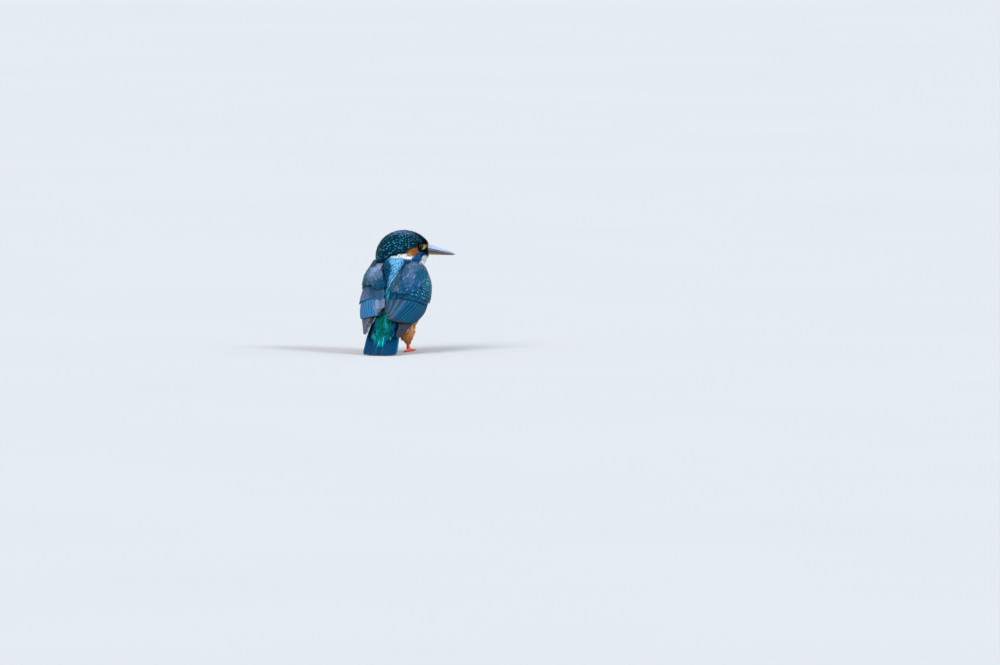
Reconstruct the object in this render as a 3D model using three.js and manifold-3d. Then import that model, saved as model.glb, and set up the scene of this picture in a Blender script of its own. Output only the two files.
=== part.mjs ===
// A first-year common kingfisher (Alcedo atthis), life size, standing on both feet and the tip of its tail,
// with its head turned over the right shoulder. Millimetres. +Y is the way the body faces, +X is the bird's
// right and +Z is up. The floor is z = 0.
import * as THREE from "three";
import { LoftGeometry } from "three/addons/geometries/LoftGeometry.js";
import { mergeVertices } from "three/addons/utils/BufferGeometryUtils.js";
import Module from "manifold-3d";

// ---------------------------------------------------------------- driving dimensions

const GAP = 0.3; // clear space between neighbouring pieces
const SIDES = { left: -1, right: 1 };

// The trunk's outline over its feathers. t runs from the neck, past the root of the tail, to the end of the
// soft feathers under it, along a centre line (y, z). halfWidth is to each side, and back and breast are the
// depths behind and before the centre line.
const TRUNK = [
  { t: 0.0, y: 17, z: 79, halfWidth: 15, back: 11, breast: 12.5 },
  { t: 0.12, y: 16, z: 69, halfWidth: 21.5, back: 14.5, breast: 16.5 },
  { t: 0.28, y: 13, z: 57, halfWidth: 25.5, back: 18, breast: 19.5 },
  { t: 0.48, y: 7.5, z: 43, halfWidth: 25.8, back: 20, breast: 21.5 },
  { t: 0.7, y: -3, z: 29.5, halfWidth: 20.5, back: 18, breast: 20.5 },
  { t: 0.86, y: -13, z: 22, halfWidth: 15, back: 13, breast: 12 },
  { t: 1.0, y: -22, z: 16.5, halfWidth: 9, back: 8, breast: 6 },
  { t: 1.14, y: -30, z: 9.6, halfWidth: 6, back: 3, breast: 3.2 },
];

// The surface that the folded wings lie on. It leaves the trunk near the rump and runs on beside the tail.
const CLOAK = [
  ...TRUNK.slice(0, 4),
  { t: 0.7, y: -3, z: 29.5, halfWidth: 23.5, back: 19.5, breast: 21.5 },
  { t: 0.86, y: -13, z: 22, halfWidth: 20, back: 15.5, breast: 15 },
  { t: 1.0, y: -22.5, z: 18, halfWidth: 16.5, back: 11.5, breast: 10 },
  { t: 1.2, y: -34, z: 13.5, halfWidth: 12.5, back: 7.5, breast: 7 },
];

// How far each wing stands out from the cloak towards its tip. The left wing droops a little.
const SPREAD = { left: 2.4, right: 0.9 };

// The head turns 52 degrees over the right shoulder, with the bill 10 degrees below level.
const HEAD_CENTRE = new THREE.Vector3(2, 17.5, 85.3);
const HEAD_TURN = THREE.MathUtils.degToRad(52);
const HEAD_DROP = THREE.MathUtils.degToRad(10.5);

// Sections of the head from the nape to the root of the bill. top and bottom are heights over its centre.
const HEAD = [
  { y: -19.6, halfWidth: 3.0, top: -6.5, bottom: -14.5 },
  { y: -18.6, halfWidth: 5.8, top: -2, bottom: -16.5 },
  { y: -15.6, halfWidth: 8.8, top: 3.4, bottom: -17.5 },
  { y: -10, halfWidth: 11.8, top: 8.2, bottom: -17.5 },
  { y: -2, halfWidth: 13.4, top: 11.6, bottom: -17 },
  { y: 6, halfWidth: 12.6, top: 12.2, bottom: -16.5 },
  { y: 13, halfWidth: 10.4, top: 10.7, bottom: -15.6 },
  { y: 18.5, halfWidth: 7.4, top: 8.1, bottom: -13.6 },
  { y: 21.6, halfWidth: 5.0, top: 5.2, bottom: -11.8 },
  { y: 22.9, halfWidth: 3.6, top: 1.0, bottom: -10.8 },
  { y: 24, halfWidth: 1.8, top: -5.8, bottom: -9.4 },
];

const BILL = { root: 20.6, tip: 47.6, halfWidth: 4.1, above: 4.0, below: 4.3, point: 0.4, hook: 0.5 };
const EYE = { x: 8.7, y: 11.9, z: 1.3, radius: 2.8 };

// The planes that part the head, neck and trunk.
const HEAD_FLOOR = -13; // height of the head's underside in its own frame
const NECK_FLOOR = { y: 14, z: 67 }; // where the neck's underside crosses the body's centre line
const NECK_LEAN = THREE.MathUtils.degToRad(14);

// Lifts of the layers of a folded wing over the cloak. rim is the outer face along a layer's edges and crown
// in its middle. floor is the inner face, which rises to lip at the tips, where it lies over the next layer.
const WING = {
  coverts: { floor: 0.6, lip: 1.9, rim: 1.4, crown: 2.7, lobes: 6, along: 6 },
  secondaries: { floor: 0.6, lip: 0.8, rim: 1.3, crown: 1.6, lobes: 7, along: 5 },
  primaries: { floor: -0.9, lip: -0.9, rim: -0.3, crown: 0.1, lobes: 3, along: 5 },
};
const WING_THIN = 0.55; // the least thickness of a layer
const WING_FADE = 0.22; // the part of a layer's length or width over which it thins to its edge

const TAIL = {
  root: { y: -21, z: 26.5, half: 9 },
  tip: { x: 1.1, y: -43.5, z: 0.2, half: 13.8 },
  arch: 1.6,
  thick: 1.5,
  feathers: 8,
};

const LEG = { x: 9.6, y: 10.5, z: 1.2, heel: 1.6, radius: 1.25 };
const TOES = [
  { name: "inner", turn: 20, length: 9, radius: 1.05 },
  { name: "middle", turn: 0, length: 11.5, radius: 1.15 },
  { name: "outer", turn: -9, length: 10.5, radius: 1.05 },
  { name: "hind", turn: 176, length: 6.5, radius: 1.05 },
];
const TOE_FALL = 0.5; // how much lower a toe's middle line ends than it starts
const CLAW = { length: 3.6, radius: 0.6, tipZ: 0.32 };

// ---------------------------------------------------------------- materials

const finish = (color, roughness = 0.6) => new THREE.MeshStandardMaterial({ color, roughness, metalness: 0 });
const CAP_BLUE = finish(0x10394a);
const BACK_BLUE = finish(0x1f86bd);
const WING_BLUE = finish(0x17607f);
const QUILL_BROWN = finish(0x3a3438);
const TAIL_BLUE = finish(0x124a73);
const WHITE = finish(0xe8e4dc);
const RUFOUS = finish(0xc98a4b);
const CORAL = finish(0xd8481c, 0.5);
const HORN = finish(0x2b2d33, 0.35);
const EYE_BLACK = finish(0x0b0908, 0.1);

// ---------------------------------------------------------------- geometry helpers

const wasm = await Module();
wasm.setup();

const { degToRad } = THREE.MathUtils;
const mix = (a, b, s) => a + (b - a) * s;
const steps = (count, from = 0, to = 1) =>
  Array.from({ length: count + 1 }, (_, i) => mix(from, to, i / count));
const turns = (count) => steps(count, 0, 2 * Math.PI).slice(0, count);

// The value of one column of a table at t, on a smooth curve through the rows.
function smooth(rows, column, t, step = "t") {
  const last = rows.length - 1;
  let i = 0;
  while (i < last - 1 && t > rows[i + 1][step]) i += 1;
  const slope = (k) => {
    const low = rows[Math.max(k - 1, 0)];
    const high = rows[Math.min(k + 1, last)];
    return (high[column] - low[column]) / (high[step] - low[step]);
  };
  const width = rows[i + 1][step] - rows[i][step];
  const s = (t - rows[i][step]) / width;
  const s2 = s * s;
  const s3 = s2 * s;
  return (
    (2 * s3 - 3 * s2 + 1) * rows[i][column] +
    (s3 - 2 * s2 + s) * width * slope(i) +
    (3 * s2 - 2 * s3) * rows[i + 1][column] +
    (s3 - s2) * width * slope(i + 1)
  );
}

// A closed solid through rings of points, whichever way the rings turn. Each end is closed by strips between
// the points that face each other across the ring, which suits round rings and thin plates alike.
function loftSolid(sections) {
  const count = sections[0].length;
  const wall = new LoftGeometry(sections);
  const faces = [...wall.index.array];
  const lastRow = (sections.length - 1) * (count + 1);
  for (let j = 0; j < count / 2 - 1; j += 1) {
    const [a, b, c, d] = [j, j + 1, count - 2 - j, count - 1 - j];
    faces.push(b, a, d, b, d, c);
    const [e, f, g, h] = [a, b, c, d].map((corner) => corner + lastRow);
    faces.push(e, f, g, e, g, h);
  }
  const solid = solidOf(wall.setIndex(faces));
  if (solid.volume() > 0) return solid;
  return solidOf(wall.setIndex(faces.reverse()));
}

// A geometry as a solid for cutting and joining, with only its positions and no collapsed faces.
function solidOf(source) {
  const bare = new THREE.BufferGeometry();
  bare.setAttribute("position", source.getAttribute("position"));
  bare.setIndex(source.getIndex());
  const merged = mergeVertices(bare, 1e-4);
  const index = merged.index.array;
  const kept = [];
  for (let i = 0; i < index.length; i += 3) {
    const [a, b, c] = index.slice(i, i + 3);
    if (a !== b && b !== c && c !== a) kept.push(a, b, c);
  }
  const vertProperties = merged.attributes.position.array;
  return new wasm.Manifold(new wasm.Mesh({ numProp: 3, vertProperties, triVerts: new Uint32Array(kept) }));
}

// The largest of a solid's separate pieces, which drops the slivers that a cut can leave.
const largest = (solid) => solid.decompose().reduce((a, b) => (b.volume() > a.volume() ? b : a));

function meshOf(name, solid, material) {
  const { vertProperties, triVerts } = largest(solid).getMesh();
  const geometry = new THREE.BufferGeometry();
  geometry.setAttribute("position", new THREE.BufferAttribute(vertProperties, 3));
  geometry.setIndex(new THREE.BufferAttribute(triVerts, 1));
  geometry.computeVertexNormals();
  const mesh = new THREE.Mesh(geometry, material);
  mesh.name = name;
  return mesh;
}

// A large block with its top face at the plane through point, square to normal, to cut away what lies below.
function blockBelow(point, normal) {
  const size = 400;
  const turn = new THREE.Quaternion().setFromUnitVectors(new THREE.Vector3(0, 0, 1), normal);
  const geometry = new THREE.BoxGeometry(size, size, size).translate(0, 0, -size / 2);
  return solidOf(geometry.applyQuaternion(turn).translate(point.x, point.y, point.z));
}

const FLOOR = blockBelow(new THREE.Vector3(0, 0, 0), new THREE.Vector3(0, 0, 1));

const ball = (x, y, z, radius, rows) =>
  solidOf(new THREE.SphereGeometry(radius, rows * 2, rows).rotateX(Math.PI / 2).translate(x, y, z));

// A round tapering tube through points, each {x, y, z, r}.
function limb(points, sides, rings) {
  const path = new THREE.CatmullRomCurve3(points.map((p) => new THREE.Vector3(p.x, p.y, p.z)));
  const frames = path.computeFrenetFrames(rings);
  const radii = points.map((p, k) => ({ k: k / (points.length - 1), r: p.r }));
  const sections = steps(rings).map((s, i) => {
    const centre = path.getPoint(s);
    const radius = smooth(radii, "r", s, "k");
    return turns(sides).map((angle) =>
      centre
        .clone()
        .addScaledVector(frames.normals[i], radius * Math.cos(angle))
        .addScaledVector(frames.binormals[i], radius * Math.sin(angle)),
    );
  });
  return loftSolid(sections);
}

// ---------------------------------------------------------------- trunk and folded wings

// A point at angle round the body from the middle of the back, at station t of a table and lift mm proud.
function around(rows, t, angle, lift) {
  const y = smooth(rows, "y", t);
  const z = smooth(rows, "z", t);
  const ahead = 0.01;
  const tangent = new THREE.Vector2(
    smooth(rows, "y", t + ahead) - smooth(rows, "y", t - ahead),
    smooth(rows, "z", t + ahead) - smooth(rows, "z", t - ahead),
  ).normalize();
  const depth = smooth(rows, Math.cos(angle) > 0 ? "back" : "breast", t);
  const out = (depth + lift) * Math.cos(angle);
  const x = (smooth(rows, "halfWidth", t) + lift) * Math.sin(angle);
  return new THREE.Vector3(x, y + out * tangent.y, z - out * tangent.x);
}

function trunkSolid(grow) {
  const end = TRUNK.at(-1).t;
  return loftSolid(steps(15, 0, end).map((t) => turns(24).map((angle) => around(TRUNK, t, angle, grow))));
}

// Rounded feather tips along an edge: 0 between two feathers and near 1 over most of each.
const scallop = (b, count) => 1 - Math.abs(2 * ((b * count) % 1) - 1) ** 3;

const covertEnd = (b) => 0.72 - 0.15 * b;

// Where each layer starts and ends along the body, and its upper and lower edges in degrees round it. b runs
// from 0 at the upper edge to 1 at the lower edge, and a from the start to the feather tips.
const WING_SHAPES = {
  coverts: {
    start: (b) => 0.13 + 0.08 * b * b,
    end: (b) => covertEnd(b) - 0.02 + 0.02 * scallop(b, WING.coverts.lobes),
    upper: (a) => mix(34, 9, Math.min(1, a * 1.6)),
    lower: (a) => mix(116, 96, a * a),
  },
  secondaries: {
    start: (b) => covertEnd(b) - 0.05,
    end: (b) => 1.0 - 0.2 * b * b - 0.03 + 0.03 * scallop(b, WING.secondaries.lobes),
    upper: (a) => mix(7, 12, a * a),
    lower: (a) => mix(94, 84, a),
  },
  primaries: {
    start: (b) => covertEnd(0.5 + b / 2) + 0.08,
    end: (b) => 1.17 - 0.05 * (2 * b - 1) ** 2,
    upper: (a) => mix(34, 60, a),
    lower: (a) => mix(104, 112, a),
  },
};

// One layer of a folded wing, as a plate that thins towards its edges.
function wingLayer(side, layerName) {
  const layer = WING[layerName];
  const shape = WING_SHAPES[layerName];
  const across = layer.lobes * 3;
  const rise = (s) => THREE.MathUtils.smoothstep(s, 0, WING_FADE);
  const point = (a, b, lift) => {
    const t = mix(shape.start(b), shape.end(b), a);
    const angle = degToRad(mix(shape.upper(a), shape.lower(a), b));
    const spread = SPREAD[side < 0 ? "left" : "right"] * THREE.MathUtils.smoothstep(t, 0.3, 0.7);
    const place = around(CLOAK, t, side * angle, lift);
    place.x += side * spread * Math.sin(angle);
    return place;
  };
  const inner = (a) => mix(layer.floor, layer.lip, THREE.MathUtils.smoothstep(a, 0.6, 0.85));
  const outer = (a, b) => {
    const lift = mix(layer.rim, layer.crown, rise(a) * rise(b) * rise(1 - b));
    return Math.max(lift, inner(a) + WING_THIN);
  };
  const sections = steps(layer.along).map((a) => [
    ...steps(across).map((b) => point(a, b, outer(a, b))),
    ...steps(across, 1, 0).map((b) => point(a, b, inner(a))),
  ]);
  return loftSolid(sections);
}

// ---------------------------------------------------------------- head, in its own frame

// The head's rings rise and fall from a line a little over half way down its height.
const HEAD_WAIST = 0.48;

function headSolid() {
  const sections = steps(16, HEAD[0].y, HEAD.at(-1).y).map((y) => {
    const size = (column) => smooth(HEAD, column, y, "y");
    const [halfWidth, top, bottom] = ["halfWidth", "top", "bottom"].map(size);
    const middle = mix(top, bottom, HEAD_WAIST);
    return turns(24).map((angle) => {
      const up = Math.cos(angle);
      const reach = up > 0 ? top - middle : middle - bottom;
      return new THREE.Vector3(halfWidth * Math.sin(angle), y, middle + reach * up);
    });
  });
  return loftSolid(sections);
}

// One half of the bill: a half-round spike from root to tip, flat where the two halves close.
function billHalf(up, grow) {
  const reach = up > 0 ? BILL.above : BILL.below;
  const tip = BILL.tip - (up > 0 ? 0 : 0.9);
  const sections = steps(6).map((s) => {
    const taper = (1 - s) ** 0.82;
    const half = BILL.point + BILL.halfWidth * taper + grow;
    const tall = BILL.point + reach * taper + 2 * grow; // the flat side moves by grow too
    const seam = up * (GAP / 2 - grow) - BILL.hook * s * s;
    const y = mix(BILL.root - grow, tip, s);
    return steps(7, 0, Math.PI).map(
      (angle) => new THREE.Vector3(half * Math.cos(angle), y, seam + up * tall * Math.sin(angle)),
    );
  });
  return loftSolid(sections);
}

// ---------------------------------------------------------------- tail

// A fan of feathers from the rump to the floor, each arched across, with rounded ends.
function tailSolid(grow) {
  const { root, tip } = TAIL;
  const down = new THREE.Vector2(tip.y - root.y, tip.z - root.z);
  const length = down.length();
  down.normalize();
  const point = (a, b, lift) => {
    const u = 2 * b - 1;
    const end = 1 - 0.07 * u * u - 0.035 * (1 - scallop(b, TAIL.feathers));
    const s = mix(-grow / length, end + grow / length, a);
    const x = tip.x * s + u * (mix(root.half, tip.half, Math.min(1, s * 1.4)) + grow);
    const roof = lift - TAIL.arch * u * u + 0.25 * scallop(b, TAIL.feathers);
    const along = s * length;
    const y = root.y + down.x * along + down.y * roof;
    return new THREE.Vector3(x, y, root.z + down.y * along - down.x * roof);
  };
  const across = TAIL.feathers * 3;
  const sections = steps(5).map((a) => [
    ...steps(across).map((b) => point(a, b, TAIL.thick / 2 + grow)),
    ...steps(across, 1, 0).map((b) => point(a, b, -TAIL.thick / 2 - grow)),
  ]);
  return loftSolid(sections);
}

// The long soft feathers over the root of the tail, as a flat cone that lies along it.
function tailCovertsSolid() {
  const reach = 0.66; // of the tail's length
  const slope = Math.atan2(TAIL.root.z - TAIL.tip.z, TAIL.root.y - TAIL.tip.y);
  const sections = steps(5).map((s) => {
    const half = mix(10.5, 3, s ** 1.6);
    const tall = mix(4.6, 0.8, s);
    return turns(12).map((angle) => {
      const up = Math.cos(angle) * tall;
      return new THREE.Vector3(
        half * Math.sin(angle) + TAIL.tip.x * s * reach,
        mix(TAIL.root.y, TAIL.tip.y, s * reach) - Math.sin(slope) * up,
        mix(TAIL.root.z, TAIL.tip.z, s * reach) + Math.cos(slope) * up,
      );
    });
  });
  return loftSolid(sections);
}

// ---------------------------------------------------------------- legs and feet

// A point along a toe or past its end, where s is the part of the toe's length and beyond is in mm.
function toePoint(side, toe, s, beyond = 0) {
  const heading = degToRad(toe.turn) * side;
  const reach = toe.length * s + beyond;
  return { x: side * LEG.x - reach * Math.sin(heading), y: LEG.y + reach * Math.cos(heading) };
}

const KNUCKLES = [0, 0.35, 0.7, 1];

function toeSolid(side, toe, grow) {
  const points = KNUCKLES.map((s) => ({
    ...toePoint(side, toe, s),
    z: LEG.z - TOE_FALL * s + 0.35 * Math.sin(Math.PI * s),
    r: toe.radius * (1.15 - 0.4 * s) + grow,
  }));
  return limb(points, 6, 5);
}

function footSolid(side, grow) {
  const heel = ball(side * LEG.x, LEG.y, LEG.z, LEG.heel + grow, 4);
  return TOES.reduce((sum, toe) => sum.add(toeSolid(side, toe, grow)), heel).subtract(FLOOR);
}

function clawSolid(side, toe) {
  const points = KNUCKLES.map((s) => ({
    ...toePoint(side, toe, 1, CLAW.length * s + GAP),
    z: mix(LEG.z - TOE_FALL, CLAW.tipZ, s) + 0.55 * Math.sin(Math.PI * s),
    r: CLAW.radius * (1 - 0.62 * s),
  }));
  return limb(points, 6, 4).subtract(FLOOR);
}

function tarsusSolid(side, grow) {
  const x = side * LEG.x;
  const r = LEG.radius + grow;
  const points = [
    { x, y: LEG.y, z: LEG.z, r: r * 1.15 },
    { x, y: LEG.y - 1.4, z: 6, r },
    { x, y: LEG.y - 3.2, z: 11, r },
    { x, y: LEG.y - 4.6, z: 15, r },
  ];
  return limb(points, 8, 5);
}

// The feathered thigh, from over the heel up into the flank.
function thighSolid(side, grow) {
  const x = side * LEG.x;
  const points = [
    { x, y: LEG.y - 2.4, z: 8.6 - grow, r: 2.2 + grow },
    { x, y: LEG.y - 4.2, z: 12, r: 4.6 + grow },
    { x: x * 1.05, y: LEG.y - 6.5, z: 18, r: 7 + grow },
    { x: x * 1.1, y: LEG.y - 8.5, z: 25 + grow, r: 5 + grow },
  ];
  return limb(points, 12, 5);
}

// ---------------------------------------------------------------- assembly

const bird = new THREE.Group();
const headGroup = new THREE.Group();
headGroup.position.copy(HEAD_CENTRE);
headGroup.rotation.set(-HEAD_DROP, 0, -HEAD_TURN, "ZXY");
headGroup.updateMatrix();
bird.add(headGroup);

const cut = (solid, cutters) => cutters.reduce((left, cutter) => left.subtract(cutter), solid);
const sides = Object.entries(SIDES);
const layers = Object.keys(WING);
const tailRoom = tailSolid(GAP);

// One whole body, parted by two planes into head, neck and trunk.
const headBase = (drop) => blockBelow(new THREE.Vector3(0, 0, HEAD_FLOOR - drop), new THREE.Vector3(0, 0, 1));
const neckUp = new THREE.Vector3(0, Math.sin(NECK_LEAN), Math.cos(NECK_LEAN));
const neckBase = (drop) => blockBelow(new THREE.Vector3(0, NECK_FLOOR.y, NECK_FLOOR.z - drop), neckUp);
const toBody = headGroup.matrix.toArray();
const toHead = headGroup.matrix.clone().invert().toArray();
const whole = trunkSolid(0).add(headSolid().transform(toBody));
const belowHead = whole.intersect(headBase(GAP).transform(toBody));

const eyeRoom = sides.map(([, side]) => ball(side * EYE.x, EYE.y, EYE.z, EYE.radius + GAP, 7));
const head = cut(whole.transform(toHead), [headBase(0), billHalf(1, GAP), billHalf(-1, GAP), ...eyeRoom]);
headGroup.add(meshOf("head", head, CAP_BLUE));
headGroup.add(meshOf("bill_upper", billHalf(1, 0), HORN));
headGroup.add(meshOf("bill_lower", billHalf(-1, 0), HORN));
for (const [sideName, side] of sides) {
  headGroup.add(meshOf(`eye_${sideName}`, ball(side * EYE.x, EYE.y, EYE.z, EYE.radius, 6), EYE_BLACK));
}

const thighRoom = sides.map(([, side]) => thighSolid(side, GAP));
bird.add(meshOf("neck", cut(belowHead, [neckBase(0)]), WHITE));
bird.add(meshOf("trunk", cut(belowHead.intersect(neckBase(GAP)), [...thighRoom, tailRoom]), BACK_BLUE));
bird.add(meshOf("tail_coverts", cut(tailCovertsSolid(), [tailRoom, trunkSolid(GAP)]), BACK_BLUE));
bird.add(meshOf("tail_feathers", tailSolid(0).subtract(FLOOR), TAIL_BLUE));

for (const [sideName, side] of sides) {
  for (const layer of layers) {
    const material = layer === "primaries" ? QUILL_BROWN : WING_BLUE;
    bird.add(meshOf(`wing_${sideName}_${layer}`, wingLayer(side, layer), material));
  }
  bird.add(meshOf(`thigh_${sideName}`, thighSolid(side, 0).subtract(tarsusSolid(side, GAP)), RUFOUS));
  bird.add(meshOf(`tarsus_${sideName}`, tarsusSolid(side, 0).subtract(footSolid(side, GAP)), CORAL));
  bird.add(meshOf(`foot_${sideName}`, footSolid(side, 0), CORAL));
  for (const toe of TOES) bird.add(meshOf(`claw_${sideName}_${toe.name}`, clawSolid(side, toe), HORN));
}

// The origin goes on the floor, under the middle of the whole bird.
bird.updateMatrixWorld(true);
const everyCorner = true; // measure the corners of the solids, not of boxes round them
const extent = new THREE.Box3().setFromObject(bird, everyCorner);
const middle = extent.getCenter(new THREE.Vector3());
bird.position.set(-middle.x, -middle.y, -extent.min.z);

export default bird;
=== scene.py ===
# %% [markdown]
# # A common kingfisher, life size
# A young kingfisher stands on both feet and the tip of its tail, and looks back over its right shoulder.
# Its solids are already made, so we load them first. They fix where everything goes. We add what the eye
# sees: skin, feathers, bill, eyes and feet.

# %% Load the frame
import math
from functools import partial

import bpy
import numpy as np
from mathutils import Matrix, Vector


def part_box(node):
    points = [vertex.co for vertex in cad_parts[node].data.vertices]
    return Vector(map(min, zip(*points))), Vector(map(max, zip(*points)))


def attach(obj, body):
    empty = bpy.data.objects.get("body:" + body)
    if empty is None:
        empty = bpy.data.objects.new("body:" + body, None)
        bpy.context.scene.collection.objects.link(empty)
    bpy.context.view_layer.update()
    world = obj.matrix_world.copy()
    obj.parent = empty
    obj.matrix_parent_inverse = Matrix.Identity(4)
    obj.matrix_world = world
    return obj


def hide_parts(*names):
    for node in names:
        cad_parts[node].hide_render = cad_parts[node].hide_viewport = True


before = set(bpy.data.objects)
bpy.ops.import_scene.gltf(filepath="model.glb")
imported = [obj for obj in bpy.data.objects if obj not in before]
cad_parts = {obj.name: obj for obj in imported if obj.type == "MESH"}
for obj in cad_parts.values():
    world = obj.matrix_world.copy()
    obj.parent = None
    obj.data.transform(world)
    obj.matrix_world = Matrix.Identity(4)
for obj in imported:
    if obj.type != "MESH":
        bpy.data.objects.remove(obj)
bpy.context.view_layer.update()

# %% [markdown]
# ## Tables of the bird's form
# A bird's body is close to a stack of ovals along a bent line. Each row of a table is one oval: where it sits
# and how far it reaches. Between rows we follow a smooth cubic curve, so a few rows give a whole body.
# The numbers are in millimetres; only the last step of every piece turns them into metres.

# %% Tables and the curve through their rows
RIGHT, LEFT = 1, -1
SIDES = ((LEFT, "left"), (RIGHT, "right"))
# station, y, z, half width, depth of back, depth of breast
TRUNK = np.array([
    [0.0, 17, 79, 15, 11, 12.5],
    [0.12, 16, 69, 21.5, 14.5, 16.5],
    [0.28, 13, 57, 25.5, 18, 19.5],
    [0.48, 7.5, 43, 25.8, 20, 21.5],
    [0.7, -3, 29.5, 20.5, 18, 20.5],
    [0.86, -13, 22, 15, 13, 12],
    [1.0, -22, 16.5, 9, 8, 6],
    [1.14, -30, 9.6, 6, 3, 3.2],
])
# The surface that the folded wings lie on.
CLOAK = np.vstack([TRUNK[:4], [
    [0.7, -3, 29.5, 23.5, 19.5, 21.5],
    [0.86, -13, 22, 20, 15.5, 15],
    [1.0, -22.5, 18, 16.5, 11.5, 10],
    [1.2, -34, 13.5, 12.5, 7.5, 7],
]])
# station up a thigh, x, y, z, radius
THIGH = np.array([[0, 10.1, 8.1, 8.6, 2.0], [1, 9.6, 6.3, 12, 4.4], [2, 10.1, 4, 18, 6.8], [3, 10.6, 2, 25, 5]])
# station forward of the head's centre, half width, top, bottom
HEAD = np.array([
    [-19.6, 3.0, -6.5, -14.5],
    [-18.6, 5.8, -2, -16.5],
    [-15.6, 8.8, 3.4, -17.5],
    [-10, 11.8, 8.2, -17.5],
    [-2, 13.4, 11.6, -17],
    [6, 12.6, 12.2, -16.5],
    [13, 10.4, 10.7, -15.6],
    [18.5, 7.4, 8.1, -13.6],
    [21.6, 5.0, 5.2, -11.8],
    [22.9, 3.6, 1.0, -10.8],
    [24, 1.8, -5.8, -9.4],
])


def curve(table, column, t):
    """A column of a table at t: the cubic through the two rows round t, whose slope at each row is that of
    the line from the row before it to the row after it."""
    at, value = table[:, 0], table[:, column]
    low = np.clip(np.arange(len(at)) - 1, 0, None)
    high = np.clip(np.arange(len(at)) + 1, None, len(at) - 1)
    slope = (value[high] - value[low]) / (at[high] - at[low])
    i = np.clip(np.searchsorted(at, t) - 1, 0, len(at) - 2)
    width = at[i + 1] - at[i]
    s = (t - at[i]) / width
    return (
        (2 * s**3 - 3 * s**2 + 1) * value[i] + (s**3 - 2 * s**2 + s) * width * slope[i]
        + (3 * s**2 - 2 * s**3) * value[i + 1] + (s**3 - s**2) * width * slope[i + 1]
    )


def mix(a, b, s):
    """a where s is 0, b where s is 1, and in proportion between."""
    return a + (b - a) * s


def ease(s, low=0.0, high=1.0):
    """0 below low, 1 above high, and 3x^2 - 2x^3 between."""
    x = np.clip((s - low) / (high - low), 0, 1)
    return x * x * (3 - 2 * x)


def unit(v):
    """Vectors scaled to length 1."""
    return v / np.maximum(np.linalg.norm(v, axis=-1, keepdims=True), 1e-9)


# %% [markdown]
# ## The head's own directions
# The head is turned 52 degrees over the right shoulder, with the bill 10.5 degrees below level. Its parts are
# easier to place by right, forward and up of its own, so we keep those three directions. The frame's two eyes
# then tell us how far the tables lie from the frame's origin.

# %% The head's place
TURN, DROP = math.radians(52), math.radians(10.5)
HEAD_RIGHT = np.array([math.cos(TURN), -math.sin(TURN), 0])
HEAD_FORWARD = np.array([math.sin(TURN) * math.cos(DROP), math.cos(TURN) * math.cos(DROP), -math.sin(DROP)])
HEAD_UP = np.cross(HEAD_RIGHT, HEAD_FORWARD)
HEAD_CENTRE = np.array([2, 17.5, 85.3])
EYE = {"right": 8.7, "forward": 11.9, "up": 1.3, "radius": 2.8, "no_roots": 2.25, "no_feathers": 2.2}

eye_boxes = [np.array(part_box(f"eye_{side}")) for side in ("left", "right")]
eyes_middle = np.mean(eye_boxes, axis=(0, 1)) * 1000
eyes_should = HEAD_CENTRE + EYE["forward"] * HEAD_FORWARD + EYE["up"] * HEAD_UP
SHIFT = eyes_middle - eyes_should
SHIFT[2] = 0
print("the tables' origin lies at", SHIFT.round(2), "mm")


def in_head(right, forward, up):
    """The point that lies so far right, forward and up of the head's centre."""
    parts = [np.asarray(part, float)[..., None] for part in (right, forward, up)]
    return HEAD_CENTRE + parts[0] * HEAD_RIGHT + parts[1] * HEAD_FORWARD + parts[2] * HEAD_UP


def of_head(p):
    """A point's distances right, forward and up of the head's centre."""
    d = p - HEAD_CENTRE
    return d @ HEAD_RIGHT, d @ HEAD_FORWARD, d @ HEAD_UP


# %% [markdown]
# ## Surfaces of body and head
# A point on the body is named by its station along the bent line and its angle round it, with 0 in the middle
# of the back. Lift moves it out from the surface. The head works the same way, with rings square to its
# forward direction.

# %% Body and head surfaces
def around(table, t, angle, lift):
    """The oval of station t stands square to the line through (y, z). At an angle from the middle of the back
    the point is (half width + lift) sin(angle) to the right and (depth + lift) cos(angle) outwards."""
    y, z = curve(table, 1, t), curve(table, 2, t)
    dy = curve(table, 1, t + 0.01) - curve(table, 1, t - 0.01)
    dz = curve(table, 2, t + 0.01) - curve(table, 2, t - 0.01)
    step = np.hypot(dy, dz)
    depth = np.where(np.cos(angle) > 0, curve(table, 4, t), curve(table, 5, t))
    out = (depth + lift) * np.cos(angle)
    x = (curve(table, 3, t) + lift) * np.sin(angle)
    return np.stack([x, y + out * dz / step, z - out * dy / step], -1)


HEAD_WAIST = 0.48  # the rings widen to a line this far down from their top


def head_ring(forward):
    """Half width, middle height, and reaches above and below the middle, of the head's ring at forward."""
    half, top, bottom = (curve(HEAD, column, forward) for column in (1, 2, 3))
    middle = mix(top, bottom, HEAD_WAIST)
    return half, middle, top - middle, middle - bottom


def head_form(forward, angle, size=1.0):
    """The head's ring at forward: half width times sin(angle) to the right, and its upper or lower reach
    times cos(angle) from its middle. size shrinks the ring."""
    half, middle, above, below = head_ring(forward)
    reach = np.where(np.cos(angle) > 0, above, below)
    return in_head(size * half * np.sin(angle), forward, middle + size * reach * np.cos(angle))


# %% [markdown]
# ## One field for the whole body
# Feathers must run from the head down the neck and over the back with no seam, so head, trunk, thighs and the
# root of the tail have to become one surface. We measure, at every point of a grid, how far it is from each
# form, and melt the distances together with a soft minimum. The body is where the result is negative.

# %% The field on a grid
STEP = 0.8  # spacing of the grid
GRID_LOW = np.array([-35.0, -52.0, -4.0])
GRID_SIZE = (92, 121, 133)


def grid_of(low, step, size):
    """The three axes of a grid, and all its points."""
    axes = [start + step * np.arange(n) for start, n in zip(low, size)]
    return axes, np.stack(np.meshgrid(*axes, indexing="ij"), -1)


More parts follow.
